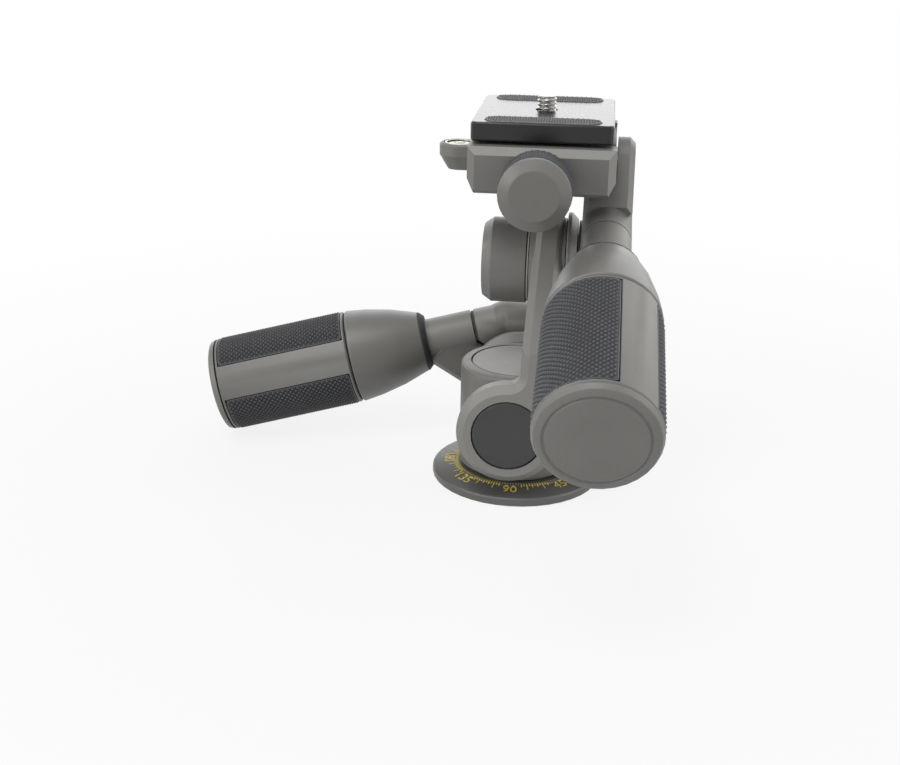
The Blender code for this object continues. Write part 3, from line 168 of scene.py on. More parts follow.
# Metallic grey paint as on cast parts: fine flakes, a faint orange peel and slightly lighter edges.
paintLook = {
    "cloud": (60.0, 3.0), "shades": (0.93, 1.06), "flake": (5200.0, 0.0), "flakeStops": (0.45, 0.62),
    "wear": (0.515, 0.60), "polish": (240.0, 4.0), "spread": 0.07, "peel": (1800.0, 2.0), "bump": (0.10, 0.00012),
}
paintSetups = {
    "satinGrey": {"colour": (0.175, 0.172, 0.163), "flake": 0.05, "edge": 1.35, "rough": 0.48, "metallic": 0.25},
    "smoothGrey": {"colour": (0.170, 0.167, 0.158), "flake": 0.03, "edge": 1.30, "rough": 0.42, "metallic": 0.25},
    "dialGrey": {"colour": (0.120, 0.118, 0.112), "flake": 0.04, "edge": 1.60, "rough": 0.42, "metallic": 0.25},
    "capGrey": {"colour": (0.055, 0.055, 0.056), "flake": 0.08, "edge": 1.40, "rough": 0.52, "metallic": 0.10},
}


def paintedCasting(name, setup):
    colour, flake, rough, spread = setup["colour"], setup["flake"], setup["rough"], paintLook["spread"]
    material, tree, shader = newMaterial(name, {"Metallic": setup["metallic"], "Specular IOR Level": 0.35})
    body = mottled(tree, grain(tree, *paintLook["cloud"]), colour, *paintLook["shades"])
    low, high = paintLook["flakeStops"]
    flakes = ramp(tree, grain(tree, *paintLook["flake"]), ((low, 1.0 - flake), (high, 1.0 + flake)))
    speckled = mixColours(tree, 1.0, body, flakes, "MULTIPLY")
    worn = mixColours(tree, edgeWear(tree, *paintLook["wear"]), speckled, tinted(colour, setup["edge"]))
    coat(tree, shader, worn, scaled(tree, grain(tree, *paintLook["polish"]), rough - spread, rough + spread))
    bumped(tree, shader, grain(tree, *paintLook["peel"]), *paintLook["bump"])
    return material


# Black anodised plate: glossy, with a very fine blasted grain.
plateLook = {
    "cloud": (90.0, 3.0), "shades": (0.85, 1.15), "polish": (420.0, 4.0), "blast": (6000.0, 1.0),
    "bump": (0.02, 0.00003),
}
plateSetups ={"plateBlack": {"colour": (0.014, 0.014, 0.015), "rough": (0.25, 0.30)}}


def blackAnodised(name, setup):
    material, tree, shader = newMaterial(name, {
        "Metallic": 0.15, "Specular IOR Level": 0.38, "Coat Weight": 0.12, "Coat Roughness": 0.18,
    })
    body = mottled(tree, grain(tree, *plateLook["cloud"]), setup["colour"], *plateLook["shades"])
    coat(tree, shader, body, scaled(tree, grain(tree, *plateLook["polish"]), *setup["rough"]))
    bumped(tree, shader, grain(tree, *plateLook["blast"]), *plateLook["bump"])
    return material


# Soft rubber of the grips, knobs and plate strips: dull, with painted shade darkening its grooves, polished on its
# knurled tops, and lighter on its pointed tops from wear and a painted sheen.
# The "groove" colour below is the near-black of the painted shade mixed into the grooves.
rubberLook = {
    "cloud": (110.0, 3.0), "shades": (0.88, 1.12), "raised": (0.15, 0.95), "groove": (0.010, 0.010, 0.012),
    "grooveShadeShare": 0.72, "wear": (0.55, 0.68), "rough": (0.74, 0.40), "skin": (3600.0, 2.0), "bump": (0.12, 0.0001),
}
# Each rubber's second colour is the lighter colour of wear and a painted sheen on its pointed tops.
rubberSetups = {
    "gripRubber": {"colour": (0.098, 0.100, 0.108), "polished": (0.19, 0.192, 0.20)},
    "knobRubber": {"colour": (0.060, 0.062, 0.068), "polished": (0.13, 0.132, 0.14)},
    "stripRubber": {"colour": (0.24, 0.24, 0.24), "polished": (0.34, 0.34, 0.34)},
    # Near-black rubber for the dark pieces of painted shade at the grip noses and in the elbow gap.
    "wiperBlack": {"colour": (0.035, 0.035, 0.036), "polished": (0.12, 0.12, 0.12)},
}


def softRubber(name, setup):
    material, tree, shader = newMaterial(name, {"Metallic": 0.0, "Specular IOR Level": 0.45})
    body = mottled(tree, grain(tree, *rubberLook["cloud"]), setup["colour"], *rubberLook["shades"])
    raised = addNode(tree, "Attribute", {"attribute_name": "raised"}).outputs["Fac"]
    tops = fadeIn(tree, raised, *rubberLook["raised"])
    # Painted shade: the grooves are mixed towards a near-black colour.
    grooves = mixColours(tree, rubberLook["grooveShadeShare"], body, rubberLook["groove"])
    withGrooveShade = mixColours(tree, tops, grooves, body)
    # Wear and a painted sheen: the pointed tops take the lighter second colour of the rubber.
    withWearAndSheen = mixColours(tree, edgeWear(tree, *rubberLook["wear"]), withGrooveShade, setup["polished"])
    coat(tree, shader, withWearAndSheen, scaled(tree, tops, *rubberLook["rough"]))
    bumped(tree, shader, grain(tree, *rubberLook["skin"]), *rubberLook["bump"])
    return material


# Turned steel: rings of fine tool marks along one direction.
steelLook = {
    "marks": (900.0, 3.0, (1.0, 1.0, 14.0)), "shades": (0.82, 1.0), "stops": (0.25, 0.75), "rough": (0.16, 0.34),
    "bump": (0.08, 0.00005),
}
steelSetups = {"brightSteel": {"colour": (0.72, 0.71, 0.69)}, "threadSteel": {"colour": (0.36, 0.355, 0.345)}}


def turnedSteel(name, setup):
    material, tree, shader = newMaterial(name, {"Metallic": 1.0, "Anisotropic": 0.35})
    marks = grain(tree, *steelLook["marks"])
    body = mottled(tree, marks, setup["colour"], *steelLook["shades"], steelLook["stops"])
    coat(tree, shader, body, scaled(tree, marks, *steelLook["rough"]))
    bumped(tree, shader, marks, *steelLook["bump"])
    return material


# Brass collar and nylon washers.
washerLook = {
    "cloud": (300.0, 3.0), "shades": (0.85, 1.0), "spread": 0.06, "skin": (2500.0, 1.0), "bump": (0.08, 0.00008),
}
washerSetups = {
    "brassRing": {"colour": (0.60, 0.42, 0.18), "rough": 0.35, "metallic": 1.0},
    "whiteNylon": {"colour": (0.62, 0.60, 0.55), "rough": 0.55, "metallic": 0.0},
}


def plainWasher(name, setup):
    material, tree, shader = newMaterial(name, {"Metallic": setup["metallic"]})
    cloud, rough, spread = grain(tree, *washerLook["cloud"]), setup["rough"], washerLook["spread"]
    body = mottled(tree, cloud, setup["colour"], *washerLook["shades"])
    coat(tree, shader, body, scaled(tree, cloud, rough - spread, rough + spread))
    bumped(tree, shader, grain(tree, *washerLook["skin"]), *washerLook["bump"])
    return material


# Printed ink, a little patchy.
inkLook = {
    "patch": (2600.0, 2.0), "shades": (0.8, 1.0), "stops": (0.3, 0.65), "polish": (900.0, 2.0), "rough": (0.42, 0.6),
}
inkSetups = {"yellowInk": {"colour": (0.78, 0.62, 0.10)}, "blackMark": {"colour": (0.010, 0.010, 0.011)}}


def printedInk(name, setup):
    material, tree, shader = newMaterial(name, {"Metallic": 0.0})
    patchy = mottled(tree, grain(tree, *inkLook["patch"]), setup["colour"], *inkLook["shades"], inkLook["stops"])
    coat(tree, shader, patchy, scaled(tree, grain(tree, *inkLook["polish"]), *inkLook["rough"]))
    return material


# Liquid and bubble of the level.
liquidLook = {"depth": (260.0, 2.0), "shades": (0.9, 1.0), "polish": (700.0, 2.0), "rough": (0.10, 0.20)}
liquidSetups = {"vialGreen": {"colour": (0.40, 0.47, 0.17)}, "bubblePale": {"colour": (0.60, 0.66, 0.40)}}


def levelLiquid(name, setup):
    material, tree, shader = newMaterial(name, {
        "Transmission Weight": 0.15, "IOR": 1.40, "Coat Weight": 0.2, "Coat Roughness": 0.05,
    })
    depth = mottled(tree, grain(tree, *liquidLook["depth"]), setup["colour"], *liquidLook["shades"])
    coat(tree, shader, depth, scaled(tree, grain(tree, *liquidLook["polish"]), *liquidLook["rough"]))
    return material


finishes = {}
for makeFinish, setups in (
    (paintedCasting, paintSetups), (blackAnodised, plateSetups), (softRubber, rubberSetups),
    (turnedSteel, steelSetups), (plainWasher, washerSetups), (printedInk, inkSetups), (levelLiquid, liquidSetups),
):
    for finishName, setup in setups.items():
        finishes[finishName] = makeFinish(finishName, setup)
print("finishes made:", len(finishes))


# CAD nodes: welded, flat faces joined, edges rounded, each with its finish. Angles are in degrees.
softenSizes = {"weld": 0.000004, "flatAngle": 1.2, "edgeAngle": 24.0, "segments": 2}
nodeFinishes = [  # finish, rounding of the edges and the nodes that share them
    ("satinGrey", 0.00035, "tilt_arm"),
    ("satinGrey", 0.00030, "pan_housing platform jaw left_knuckle left_elbow right_elbow"),
    ("satinGrey", 0.00030, "left_end_cap right_end_cap"),
    ("satinGrey", 0.00025, "left_grip_core right_grip_core"),
    ("satinGrey", 0.00020, "tilt_flange"),
    ("smoothGrey", 0.00030, "left_cone right_cone clamp_knob pan_knob"),
    ("smoothGrey", 0.00020, "left_tube right_tube housing_cap"),
    ("dialGrey", 0.00030, "base_disc"),
    ("capGrey", 0.00020, "front_cap rear_cap barrel_cap shaft_cap"),
    ("plateBlack", 0.00020, "camera_plate"),
    ("brightSteel", 0.00020, "pan_post pan_knob_screw side_shaft front_shaft front_nut rear_nut clamp_screw"),
    ("brightSteel", 0.00020, "jaw_pin_left jaw_pin_right"),
    ("threadSteel", 0.00008, "level_ring"),
    ("vialGreen", 0.00010, "level_vial"),
    ("brassRing", 0.00020, "post_collar"),
    ("whiteNylon", 0.00010, "pan_washer front_washer rear_washer upper_washer"),
]


def weldedFaces():
    group = bpy.data.node_groups.new("weldedFaces", "GeometryNodeTree")
    group.interface.new_socket("Geometry", in_out="INPUT", socket_type="NodeSocketGeometry")
    group.interface.new_socket("Geometry", in_out="OUTPUT", socket_type="NodeSocketGeometry")
    steps = [group.nodes.new(kind) for kind in (
        "NodeGroupInput", "GeometryNodeMergeByDistance", "GeometryNodeRemoveAttribute",
        "GeometryNodeSetShadeSmooth", "GeometryNodeSetShadeSmooth", "NodeGroupOutput",
    )]
    steps[1].inputs["Distance"].default_value = softenSizes["weld"]
    steps[2].inputs["Name"].default_value = "custom_normal"
    steps[3].domain = "FACE"
    steps[4].domain = "EDGE"
    for before, after in zip(steps, steps[1:]):
        group.links.new(before.outputs[0], after.inputs[0])
    return group


def soften(node, width):
    weld = node.modifiers.new("weld", "NODES")
    weld.node_group = weldGroup
    flat = node.modifiers.new("joinFlat", "DECIMATE")
    flat.decimate_type = "DISSOLVE"
    flat.angle_limit = radians(softenSizes["flatAngle"])
    bevel = node.modifiers.new("roundEdges", "BEVEL")
    bevel.width = width
    bevel.segments = softenSizes["segments"]
    bevel.limit_method = "ANGLE"
    bevel.angle_limit = radians(softenSizes["edgeAngle"])
    bevel.use_clamp_overlap = True
    bevel.harden_normals = True


weldGroup = weldedFaces()
for finishName, edgeWidth, nodeNames in nodeFinishes:
    for nodeName in nodeNames.split():
        node = frame["nodes"][nodeName]
        node.material_slots[0].material = finishes[finishName]
        soften(node, edgeWidth)
    print("nodes in", finishName + ":", nodeNames)


# Tools that build the detail pieces.
creaseAngle = 40.0
near = 0.0001  # points closer than this count as level with each other


def meshPiece(name, points, faces, finish, body, smooth=True):
    mesh = bpy.data.meshes.new(name)
    mesh.from_pydata([tuple(point) for point in points], [], [tuple(face) for face in faces])
    shape = bmesh.new()
    shape.from_mesh(mesh)
    bmesh.ops.recalc_face_normals(shape, faces=shape.faces)
    shape.to_mesh(mesh)
    shape.free()
    if smooth:
        mesh.shade_smooth()
        mesh.set_sharp_from_angle(angle=radians(creaseAngle))
    mesh.materials.append(finishes[finish])
    piece = bpy.data.objects.new(name, mesh)
    bpy.context.scene.collection.objects.link(piece)
    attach(piece, body)
    return piece


# The rubber reads from "raised" how far a point stands up, from 0 in a groove to 1 on a top.
def markRaised(piece, values):
    layer = piece.data.attributes.new("raised", "FLOAT", "POINT")
    layer.data.foreach_set("value", values.astype(np.float32))


# A turned piece: rings of (radius, height), closed on the axis or into a loop.
# change(angle, ring) adds to the radius of a ring.
def turnedPiece(name, rings, steps, place, finish, body, change=None, loop=False):
    points, starts, faces = [], [], []
    for index, (radius, height) in enumerate(rings):
        starts.append(len(points))
        count = 1 if radius == 0.0 else steps
        for step in range(count):
            angle = 2 * pi * step / steps
            reach = radius + (change(angle, index) if change and radius else 0.0)
            points.append(place @ Vector((reach * cos(angle), reach * sin(angle), height)))
    pairs = list(zip(range(len(rings)), range(1, len(rings))))
    if loop:
        pairs.append((len(rings) - 1, 0))
    for low, high in pairs:
        for step in range(steps):
            after = (step + 1) % steps
            if rings[low][0] == 0.0:
                faces.append((starts[low], starts[high] + step, starts[high] + after))
            elif rings[high][0] == 0.0:
                faces.append((starts[low] + step, starts[high], starts[low] + after))
            else:
                faces.append((starts[low] + step, starts[high] + step, starts[high] + after, starts[low] + after))
    return meshPiece(name, points, faces, finish, body)


def smoothStep(values, low, high):
    share = np.clip((values - low) / (high - low), 0.0, 1.0)
    return share * share * (3 - 2 * share)


sheetGrid = {"perPitch": 4, "under": 12, "leastRows": 8}


# A closed sheet with rounded corners whose top carries raised diamonds; place(u, v, height) bends it to its seat.
def diamondSheet(name, halfU, halfV, sizes, place, finish, body):
    perPitch, under = sheetGrid["perPitch"], sheetGrid["under"]
    quarter = sizes["pitch"] / perPitch
    columns = max(under, under * round(2 * halfU / quarter / under))
    rows = max(sheetGrid["leastRows"], 2 * round(halfV / quarter))
    # Grid of the top, narrower where the corners are rounded.
    v = np.linspace(-halfV, halfV, rows + 1)
    inCorner = np.maximum(0.0, np.abs(v) - (halfV - sizes["corner"]))
    wide = halfU - sizes["corner"] + np.sqrt(sizes["corner"] ** 2 - inCorner**2)
    u = wide[:, None] * np.linspace(-1.0, 1.0, columns + 1)[None, :]
    vTop = np.repeat(v[:, None], columns + 1, axis=1)
    # Two crossing rows of grooves leave the diamonds, which fade out towards the rim.
    stepU, stepV = 2 * halfU / columns, 2 * halfV / rows
    first, second = (u / stepU + vTop / stepV) / perPitch, (u / stepU - vTop / stepV) / perPitch
    inside = np.minimum(0.5 - np.abs(first - np.round(first)), 0.5 - np.abs(second - np.round(second)))
    knurl = smoothStep(inside, 0.0, sizes["groove"])
    toEdge = np.minimum(wide[:, None] - np.abs(u), (halfV - np.abs(v))[:, None])
    field = smoothStep(toEdge, sizes["margin"], sizes["margin"] + quarter)
    height = sizes["rim"] * (1 - field) + field * (knurl * sizes["depth"] - sizes["depth"] + sizes["proud"])
    height = np.where(toEdge < sizes["edge"] / 2, height - sizes["edge"] / 2, height)
    top = place(u, vTop, height).reshape(-1, 3)
    uLow = wide[:, None] * np.linspace(-1.0, 1.0, under + 1)[None, :]
    vLow = np.repeat(v[:, None], under + 1, axis=1)
    bottom = place(uLow, vLow, np.full_like(uLow, -sizes["thick"])).reshape(-1, 3)
    # Each square of the top is split along its flatter diagonal.
    faces = []
    grid = np.arange(len(top)).reshape(rows + 1, columns + 1)
    straight = np.abs(height[:-1, :-1] - height[1:, 1:]) <= np.abs(height[1:, :-1] - height[:-1, 1:])
    a, b, c, d = grid[:-1, :-1], grid[:-1, 1:], grid[1:, 1:], grid[1:, :-1]
    halves = ((a, b, c, straight), (a, c, d, straight), (a, b, d, ~straight), (b, c, d, ~straight))
    for one, two, three, where in halves:
        faces += np.stack([one[where], two[where], three[where]], axis=1).tolist()
    low = len(top) + np.arange(len(bottom)).reshape(rows + 1, under + 1)
    for row in range(rows):
        for column in range(under):
            faces.append([low[row, column], low[row + 1, column], low[row + 1, column + 1], low[row, column + 1]])
        faces.append([grid[row, 0], grid[row + 1, 0], low[row + 1, 0], low[row, 0]])
        faces.append([grid[row, -1], low[row, -1], low[row + 1, -1], grid[row + 1, -1]])
    share = columns // under
    for row in (0, rows):
        for column in range(under):
            run = grid[row, column * share:(column + 1) * share + 1].tolist()
            faces.append(run + [low[row, column + 1], low[row, column]])
    piece = meshPiece(name, np.concatenate([top, bottom]), faces, finish, body)
    markRaised(piece, np.concatenate([(field * knurl + (1 - field)).reshape(-1), np.zeros(len(bottom))]))
    return piece


def jointPlace(name):
    joint = next(item for item in frame["joints"] if item["name"] == name)
    return Vector(joint["pos_m"]), Vector(joint["axis"]).normalized()


def framed(origin, zAxis, xGuide):
    zUnit = zAxis.normalized()
    yUnit = zUnit.cross(xGuide).normalized()
    turn = Matrix((yUnit.cross(zUnit), yUnit, zUnit)).transposed().to_4x4()
    return Matrix.Translation(origin) @ turn


def placedPoints(mesh, place):
    points = np.array([vertex.co for vertex in mesh.vertices])
    turn = np.array(place.inverted())
    return points @ turn[:3, :3].T + turn[:3, 3]


def nodePoints(nodeName, place):
    return placedPoints(frame["nodes"][nodeName].data, place)


def radiiOf(points):
    return np.hypot(points[:, 0], points[:, 1])


handlePlaces = {}
for side in ("left", "right"):
    elbow, along = jointPlace(side + "_handle_twist")
    pin = jointPlace(side + "_handle_fold")[0]
    handlePlaces[side] = framed(elbow, along, pin - elbow)


# Rubber panels of the two grips.
panelSizes = {
    "pitch": 0.00190, "depth": 0.00060, "proud": 0.00022, "rim": -0.00010, "margin": 0.00012,
    "groove": 0.50, "corner": 0.0012, "edge": 0.0002, "thick": 0.0011,
}


def gripPanel(side, which):
    place = handlePlaces[side]
    local = nodePoints(f"{side}_panel_{which}", place)
    radii = radiiOf(local)
    outer = radii.max()
    rim = local[radii > outer - panelSizes["edge"]]
    angles = np.arctan2(rim[:, 1], rim[:, 0])
    middle = atan2(np.sin(angles).sum(), np.cos(angles).sum())
    spread = np.abs((angles - middle + pi) % (2 * pi) - pi).max()
    low, high = local[:, 2].min(), local[:, 2].max()
    turn = np.array(place)

    def onGrip(u, v, height):
        angle = middle + u / outer
        reach = outer + height
        flat = np.stack([reach * np.cos(angle), reach * np.sin(angle), v + (low + high) / 2], axis=-1)
        return flat @ turn[:3, :3].T + turn[:3, 3]

    piece = diamondSheet(
        f"{side}Panel{which.capitalize()}", spread * outer, (high - low) / 2, panelSizes, onGrip,
        "gripRubber", side + "_grip",
    )
    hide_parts(f"{side}_panel_{which}")


for side in ("left", "right"):
    for which in ("upper", "lower"):
        gripPanel(side, which)
print("grip panels knurled")


# Rubber strips on the camera plate.
stripSizes = {
    "pitch": 0.00165, "depth": 0.00065, "proud": 0.00020, "rim": -0.00010, "margin": 0.00010,
    "groove": 0.60, "corner": 0.00465, "edge": 0.0002, "thick": 0.0009,
}


def plateStrip(which):
    low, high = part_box(which + "_strip")
    centre = (low + high) / 2

    def onPlate(u, v, height):
        return np.stack([centre.x + v, centre.y + u, high.z + height], axis=-1)

    piece = diamondSheet(
        which + "Strip", (high.y - low.y) / 2, (high.x - low.x) / 2, stripSizes, onPlate,
        "stripRubber", "plate",
    )
    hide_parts(which + "_strip")


plateStrip("front")
plateStrip("rear")
print("plate strips knurled")


# Rubber bands of the two knobs, knurled with the diamonds of the grips.
bandSizes = {"pitch": 0.0019, "depth": 0.00045, "edge": 0.0005, "perPitch": 4}


def knobBand(nodeName, joint, body):
    origin, axis = jointPlace(joint)
    place = framed(origin, axis, Vector((0.0, 0.0, 1.0)))
    local = nodePoints(nodeName, place)
    outer, inner = radiiOf(local).max(), radiiOf(local).min()
    low, high = local[:, 2].min(), local[:, 2].max()
    edge, depth, perPitch = bandSizes["edge"], bandSizes["depth"], bandSizes["perPitch"]
    around = round(2 * pi * outer / bandSizes["pitch"])
    levels = max(perPitch, round((high - low - 2 * edge) / bandSizes["pitch"] * perPitch))
    rings = [(inner, low), (outer - edge, low)]
    first = len(rings)
    rings += [(outer, low + edge + (high - low - 2 * edge) * level / levels) for level in range(levels + 1)]
    rings += [(outer - edge, high), (inner, high)]

    def diamonds(angle, ring):
        if ring < first or ring > first + levels:
            return 0.0
        turns, rise = angle * around / (2 * pi), (ring - first) / perPitch
        inside = min(0.5 - abs(slant - round(slant)) for slant in (turns + rise, turns - rise))
        return -depth * (1 - 2 * inside)

    steps = around * perPitch
    piece = turnedPiece(nodeName + "Knurl", rings, steps, place, "knobRubber", body, diamonds, True)
    reach = radiiOf(placedPoints(piece.data, place))
    markRaised(piece, ((reach - outer + depth) / depth).clip(0, 1))
    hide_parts(nodeName)


knobBand("clamp_knob_band", "clamp_knob_turn", "clamp_lock")
knobBand("pan_knob_band", "pan_lock_turn", "pan_lock")
print("knob bands knurled")


# Flat crest, straight flanks and flat root of a screw thread, over one pitch.
threadForm = {"root": 0.12, "flank": 0.76}


def threadWave(share):
    wave = abs((share % 1.0) * 2 - 1)
    return min(1.0, max(0.0, (wave - threadForm["root"]) / threadForm["flank"]))


# Camera screw with its thread.
screwSizes = {
    "pitch": 0.00127, "threadDepth": 0.00055, "perTurn": 10, "steps": 48, "chamfer": 0.0006,
    "threadStart": 0.0050, "headRim": 0.0003, "tipReach": 0.0011,
}


def cameraScrew():
    origin = jointPlace("camera_screw_turn")[0]
    place = Matrix.Translation(Vector((origin.x, origin.y, 0.0)))
    low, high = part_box("camera_screw")
    local = nodePoints("camera_screw", place)
    radii = radiiOf(local)
    headRadius, headTop = radii.max(), local[radii > radii.max() - screwSizes["headRim"]][:, 2].max()
    shank = radii[local[:, 2] > high.z - screwSizes["tipReach"]].max()
    chamfer, depth, pitch = screwSizes["chamfer"], screwSizes["threadDepth"], screwSizes["pitch"]
    rings = [(0.0, low.z), (headRadius, low.z), (headRadius, headTop), (shank - depth, headTop)]
    first = len(rings)
    start = low.z + screwSizes["threadStart"]
    count = int((high.z - start) / pitch * screwSizes["perTurn"])
    levels = np.linspace(start, high.z - chamfer / 4, count)
    rings += [(shank, level) for level in levels]
    rings += [(shank - depth - chamfer / 2, high.z), (0.0, high.z)]

    def thread(angle, ring):
        if ring < first or ring >= first + count:
            return 0.0
        level = levels[ring - first]
        fade = min(1.0, max(0.0, (high.z - level) / chamfer))
        return -depth * (1 - threadWave(level / pitch - angle / (2 * pi)) * fade)

    piece = turnedPiece(
        "cameraScrewThread", rings, screwSizes["steps"], place, "threadSteel", "plate_screw", thread
    )
    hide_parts("camera_screw")


cameraScrew()
print("camera screw threaded")


# Thread inside the tripod socket.
socketSizes = {
    "pitch": 0.001588, "threadDepth": 0.0006, "perTurn": 8, "steps": 40, "mouth": 0.0009, "end": 0.0002,
    "leastRadius": 0.001, "clearance": 0.00002, "wall": 0.00005,
}


def socketThread():
    local = nodePoints("pan_post", Matrix.Identity(4))
    radii = radiiOf(local)
    bottom = local[:, 2].min()
    offAxis = radii > socketSizes["leastRadius"]
    bore = radii[(local[:, 2] < bottom + near) & offAxis].min()
    top = local[(radii < bore + near) & offAxis][:, 2].max()
    low, high = bottom + socketSizes["mouth"], top - socketSizes["end"]
    outer, pitch = bore - socketSizes["clearance"], socketSizes["pitch"]
    count = int((high - low) / pitch * socketSizes["perTurn"])
    levels = np.linspace(low, high, count)
    rings = [(outer, high), (outer, low)]
    first = len(rings)
    rings += [(outer - socketSizes["wall"], level) for level in levels]

    def thread(angle, ring):
        if ring < first:
            return 0.0
        level = levels[ring - first]
        fade = max(0.0, min(1.0, (level - low) / pitch, (high - level) / pitch))
        return -socketSizes["threadDepth"] * threadWave(level / pitch - angle / (2 * pi)) * fade

    place, steps = Matrix.Identity(4), socketSizes["steps"]
    turnedPiece("socketThread", rings, steps, place, "brightSteel", "base", thread, True)


socketThread()
print("socket threaded")


# Bubble level: domed liquid cell with its ring mark and bubble.
levelSizes = {
    "dome": 0.00032, "clearance": 0.00003, "markRadius": 0.00175, "markWidth": 0.00024, "bubbleRadius": 0.00115,
    "bubbleShift": (0.00030, -0.00020), "bubbleRise": 0.00010, "cellSink": 0.0002, "markSink": 0.00006,
    "markProud": 0.00002, "bubbleSink": 0.0001, "steps": 64, "cellRings": 9, "bubbleRings": 7,
}


def bubbleLevel():
    low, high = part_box("level_vial")
    middle = (low + high) / 2
    outer = (high.x - low.x) / 2 - levelSizes["clearance"]
    place = Matrix.Translation((middle.x, middle.y, high.z))
    dome, steps, sink = levelSizes["dome"], levelSizes["steps"], levelSizes["cellSink"]

    def domeHeight(radius):
        return dome * (1 - (radius / outer) ** 2)

    shares = np.linspace(0.0, 1.0, levelSizes["cellRings"])
    rings = [(outer * share, domeHeight(outer * share)) for share in shares]
    rings += [(outer, -sink), (0.0, -sink)]
    turnedPiece("levelCell", rings, steps, place, "vialGreen", "head")
    inner, width = levelSizes["markRadius"], levelSizes["markWidth"]
    under, over = -levelSizes["markSink"], levelSizes["markProud"]
    mark = [
        (inner + side * width, domeHeight(inner + side * width) + lift)
        for side, lift in ((0, under), (0, over), (1, over), (1, under))
    ]
    turnedPiece("levelMark", mark, steps, place, "blackMark", "head", None, True)
    shiftX, shiftY = levelSizes["bubbleShift"]
    radius = levelSizes["bubbleRadius"]
    seat = domeHeight(abs(shiftX) + radius)
    crown = levelSizes["bubbleRise"] + dome - seat
    turns = np.linspace(0, pi / 2, levelSizes["bubbleRings"])
    bubble = [(radius * sin(turn), seat + crown * cos(turn)) for turn in turns]
    bubble += [(radius, seat - levelSizes["bubbleSink"]), (0.0, seat - levelSizes["bubbleSink"])]
    bubblePlace = Matrix.Translation((middle.x + shiftX, middle.y + shiftY, high.z))
    turnedPiece("levelBubble", bubble, steps // 2, bubblePlace, "bubblePale", "head")


bubbleLevel()
print("bubble level made")


# Painted shade: dark rings that cap the noses of the grips, where the tubes enter; they stand in for the shaded nose
# faces and the gaps around the tubes.
noseShadeSizes = {
    "gap": 0.00015, "reach": 0.0002, "skin": 0.00015, "lap": 0.0005, "seat": 0.0006, "steps": 72,
    "tubeFrom": 0.005,
}


def wiperRing(side):
    place = handlePlaces[side]
    tube = nodePoints(side + "_tube", place)
    bore = radiiOf(tube)[tube[:, 2] > noseShadeSizes["tubeFrom"]].max() + noseShadeSizes["gap"]
    cone = nodePoints(side + "_cone", place)
    heights, radii = cone[:, 2], radiiOf(cone)
    nose = heights.min()
    shoulder = heights[heights > nose + near].min()
    rim = radii[heights < nose + near].max()
    outer = radii[heights < shoulder + near].max()
    skin, end, lap = noseShadeSizes["skin"], nose - noseShadeSizes["reach"], shoulder + noseShadeSizes["lap"]
    seat = nose + noseShadeSizes["seat"]
    rings = [
        (bore, seat), (bore, end), (rim, end), (rim + skin, nose - skin / 2), (outer + skin, shoulder),
        (outer + skin, lap), (outer - skin, lap), (rim - skin, seat),
    ]
    name, steps = side + "Wiper", noseShadeSizes["steps"]
    turnedPiece(name, rings, steps, place, "wiperBlack", side + "_grip", None, True)


wiperRing("left")
wiperRing("right")
print("wiper rings made")


# Painted shade: a dark sheet on the flat of the knuckle that faces the left elbow, where the gap between them lies
# in shade.
gapShadeSizes = {
    "thick": 0.00110, "inset": 0.0006, "sink": 0.00002, "normalDigits": 2, "planeDigits": 4, "pointDigits": 6,
}


# The largest flat of one node that looks towards another: its normal and its corners.
# Faces whose rounded normal and distance agree count as one flat.
def flatFacing(nodeName, otherName):
    mesh = frame["nodes"][nodeName].data
    other = sum(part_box(otherName), Vector()) / 2
    digits, flats = gapShadeSizes["normalDigits"], {}
    for face in mesh.polygons:
        if face.normal.dot(other - face.center) > 0:
            distance = round(face.normal.dot(face.center), gapShadeSizes["planeDigits"])
            key = (*(round(value, digits) for value in face.normal), distance)
            flats.setdefault(key, []).append(face)
    faces = max(flats.values(), key=lambda group: sum(face.area for face in group))
    return faces[0].normal.copy(), [mesh.vertices[index].co for face in faces for index in face.vertices]


def hullOf(points):
    def half(ordered):
        chain = []
        for point in ordered:
            while len(chain) > 1 and (chain[-1] - chain[-2]).cross(point - chain[-2]) <= 0:
                chain.pop()
            chain.append(point)
        return chain[:-1]

    digits = gapShadeSizes["pointDigits"]
    ordered = [Vector(spot) for spot in sorted({(round(x, digits), round(y, digits)) for x, y in points})]
    return half(ordered) + half(ordered[::-1])


def elbowLiner():
    normal, points = flatFacing("left_knuckle", "left_elbow")
    place = framed(points[0], normal, Vector((0, 0, 1)))
    toPlace = place.inverted()
    outline = hullOf([(toPlace @ point).xy for point in points])
    middle = sum(outline, Vector((0, 0))) / len(outline)
    inset = [middle + (point - middle) * (1 - gapShadeSizes["inset"] / (point - middle).length) for point in outline]
    count = len(inset)
    levels = (-gapShadeSizes["sink"], gapShadeSizes["thick"])
    corners = [place @ Vector((point.x, point.y, level)) for level in levels for point in inset]
    faces = [(i, (i + 1) % count, count + (i + 1) % count, count + i) for i in range(count)]
    faces += [tuple(range(count))[::-1], tuple(range(count, 2 * count))]
    # Painted shade: a near-black sheet in the gap by the elbow.
    meshPiece("elbowLiner", corners, faces, "wiperBlack", "arm", False)


elbowLiner()
print("elbow liner made")


# Hinge pins of the handles, with a hexagon socket at each end.
pinSizes = {"hexAcross": 0.0021, "hexDepth": 0.0010, "chamfer": 0.0003, "steps": 48}


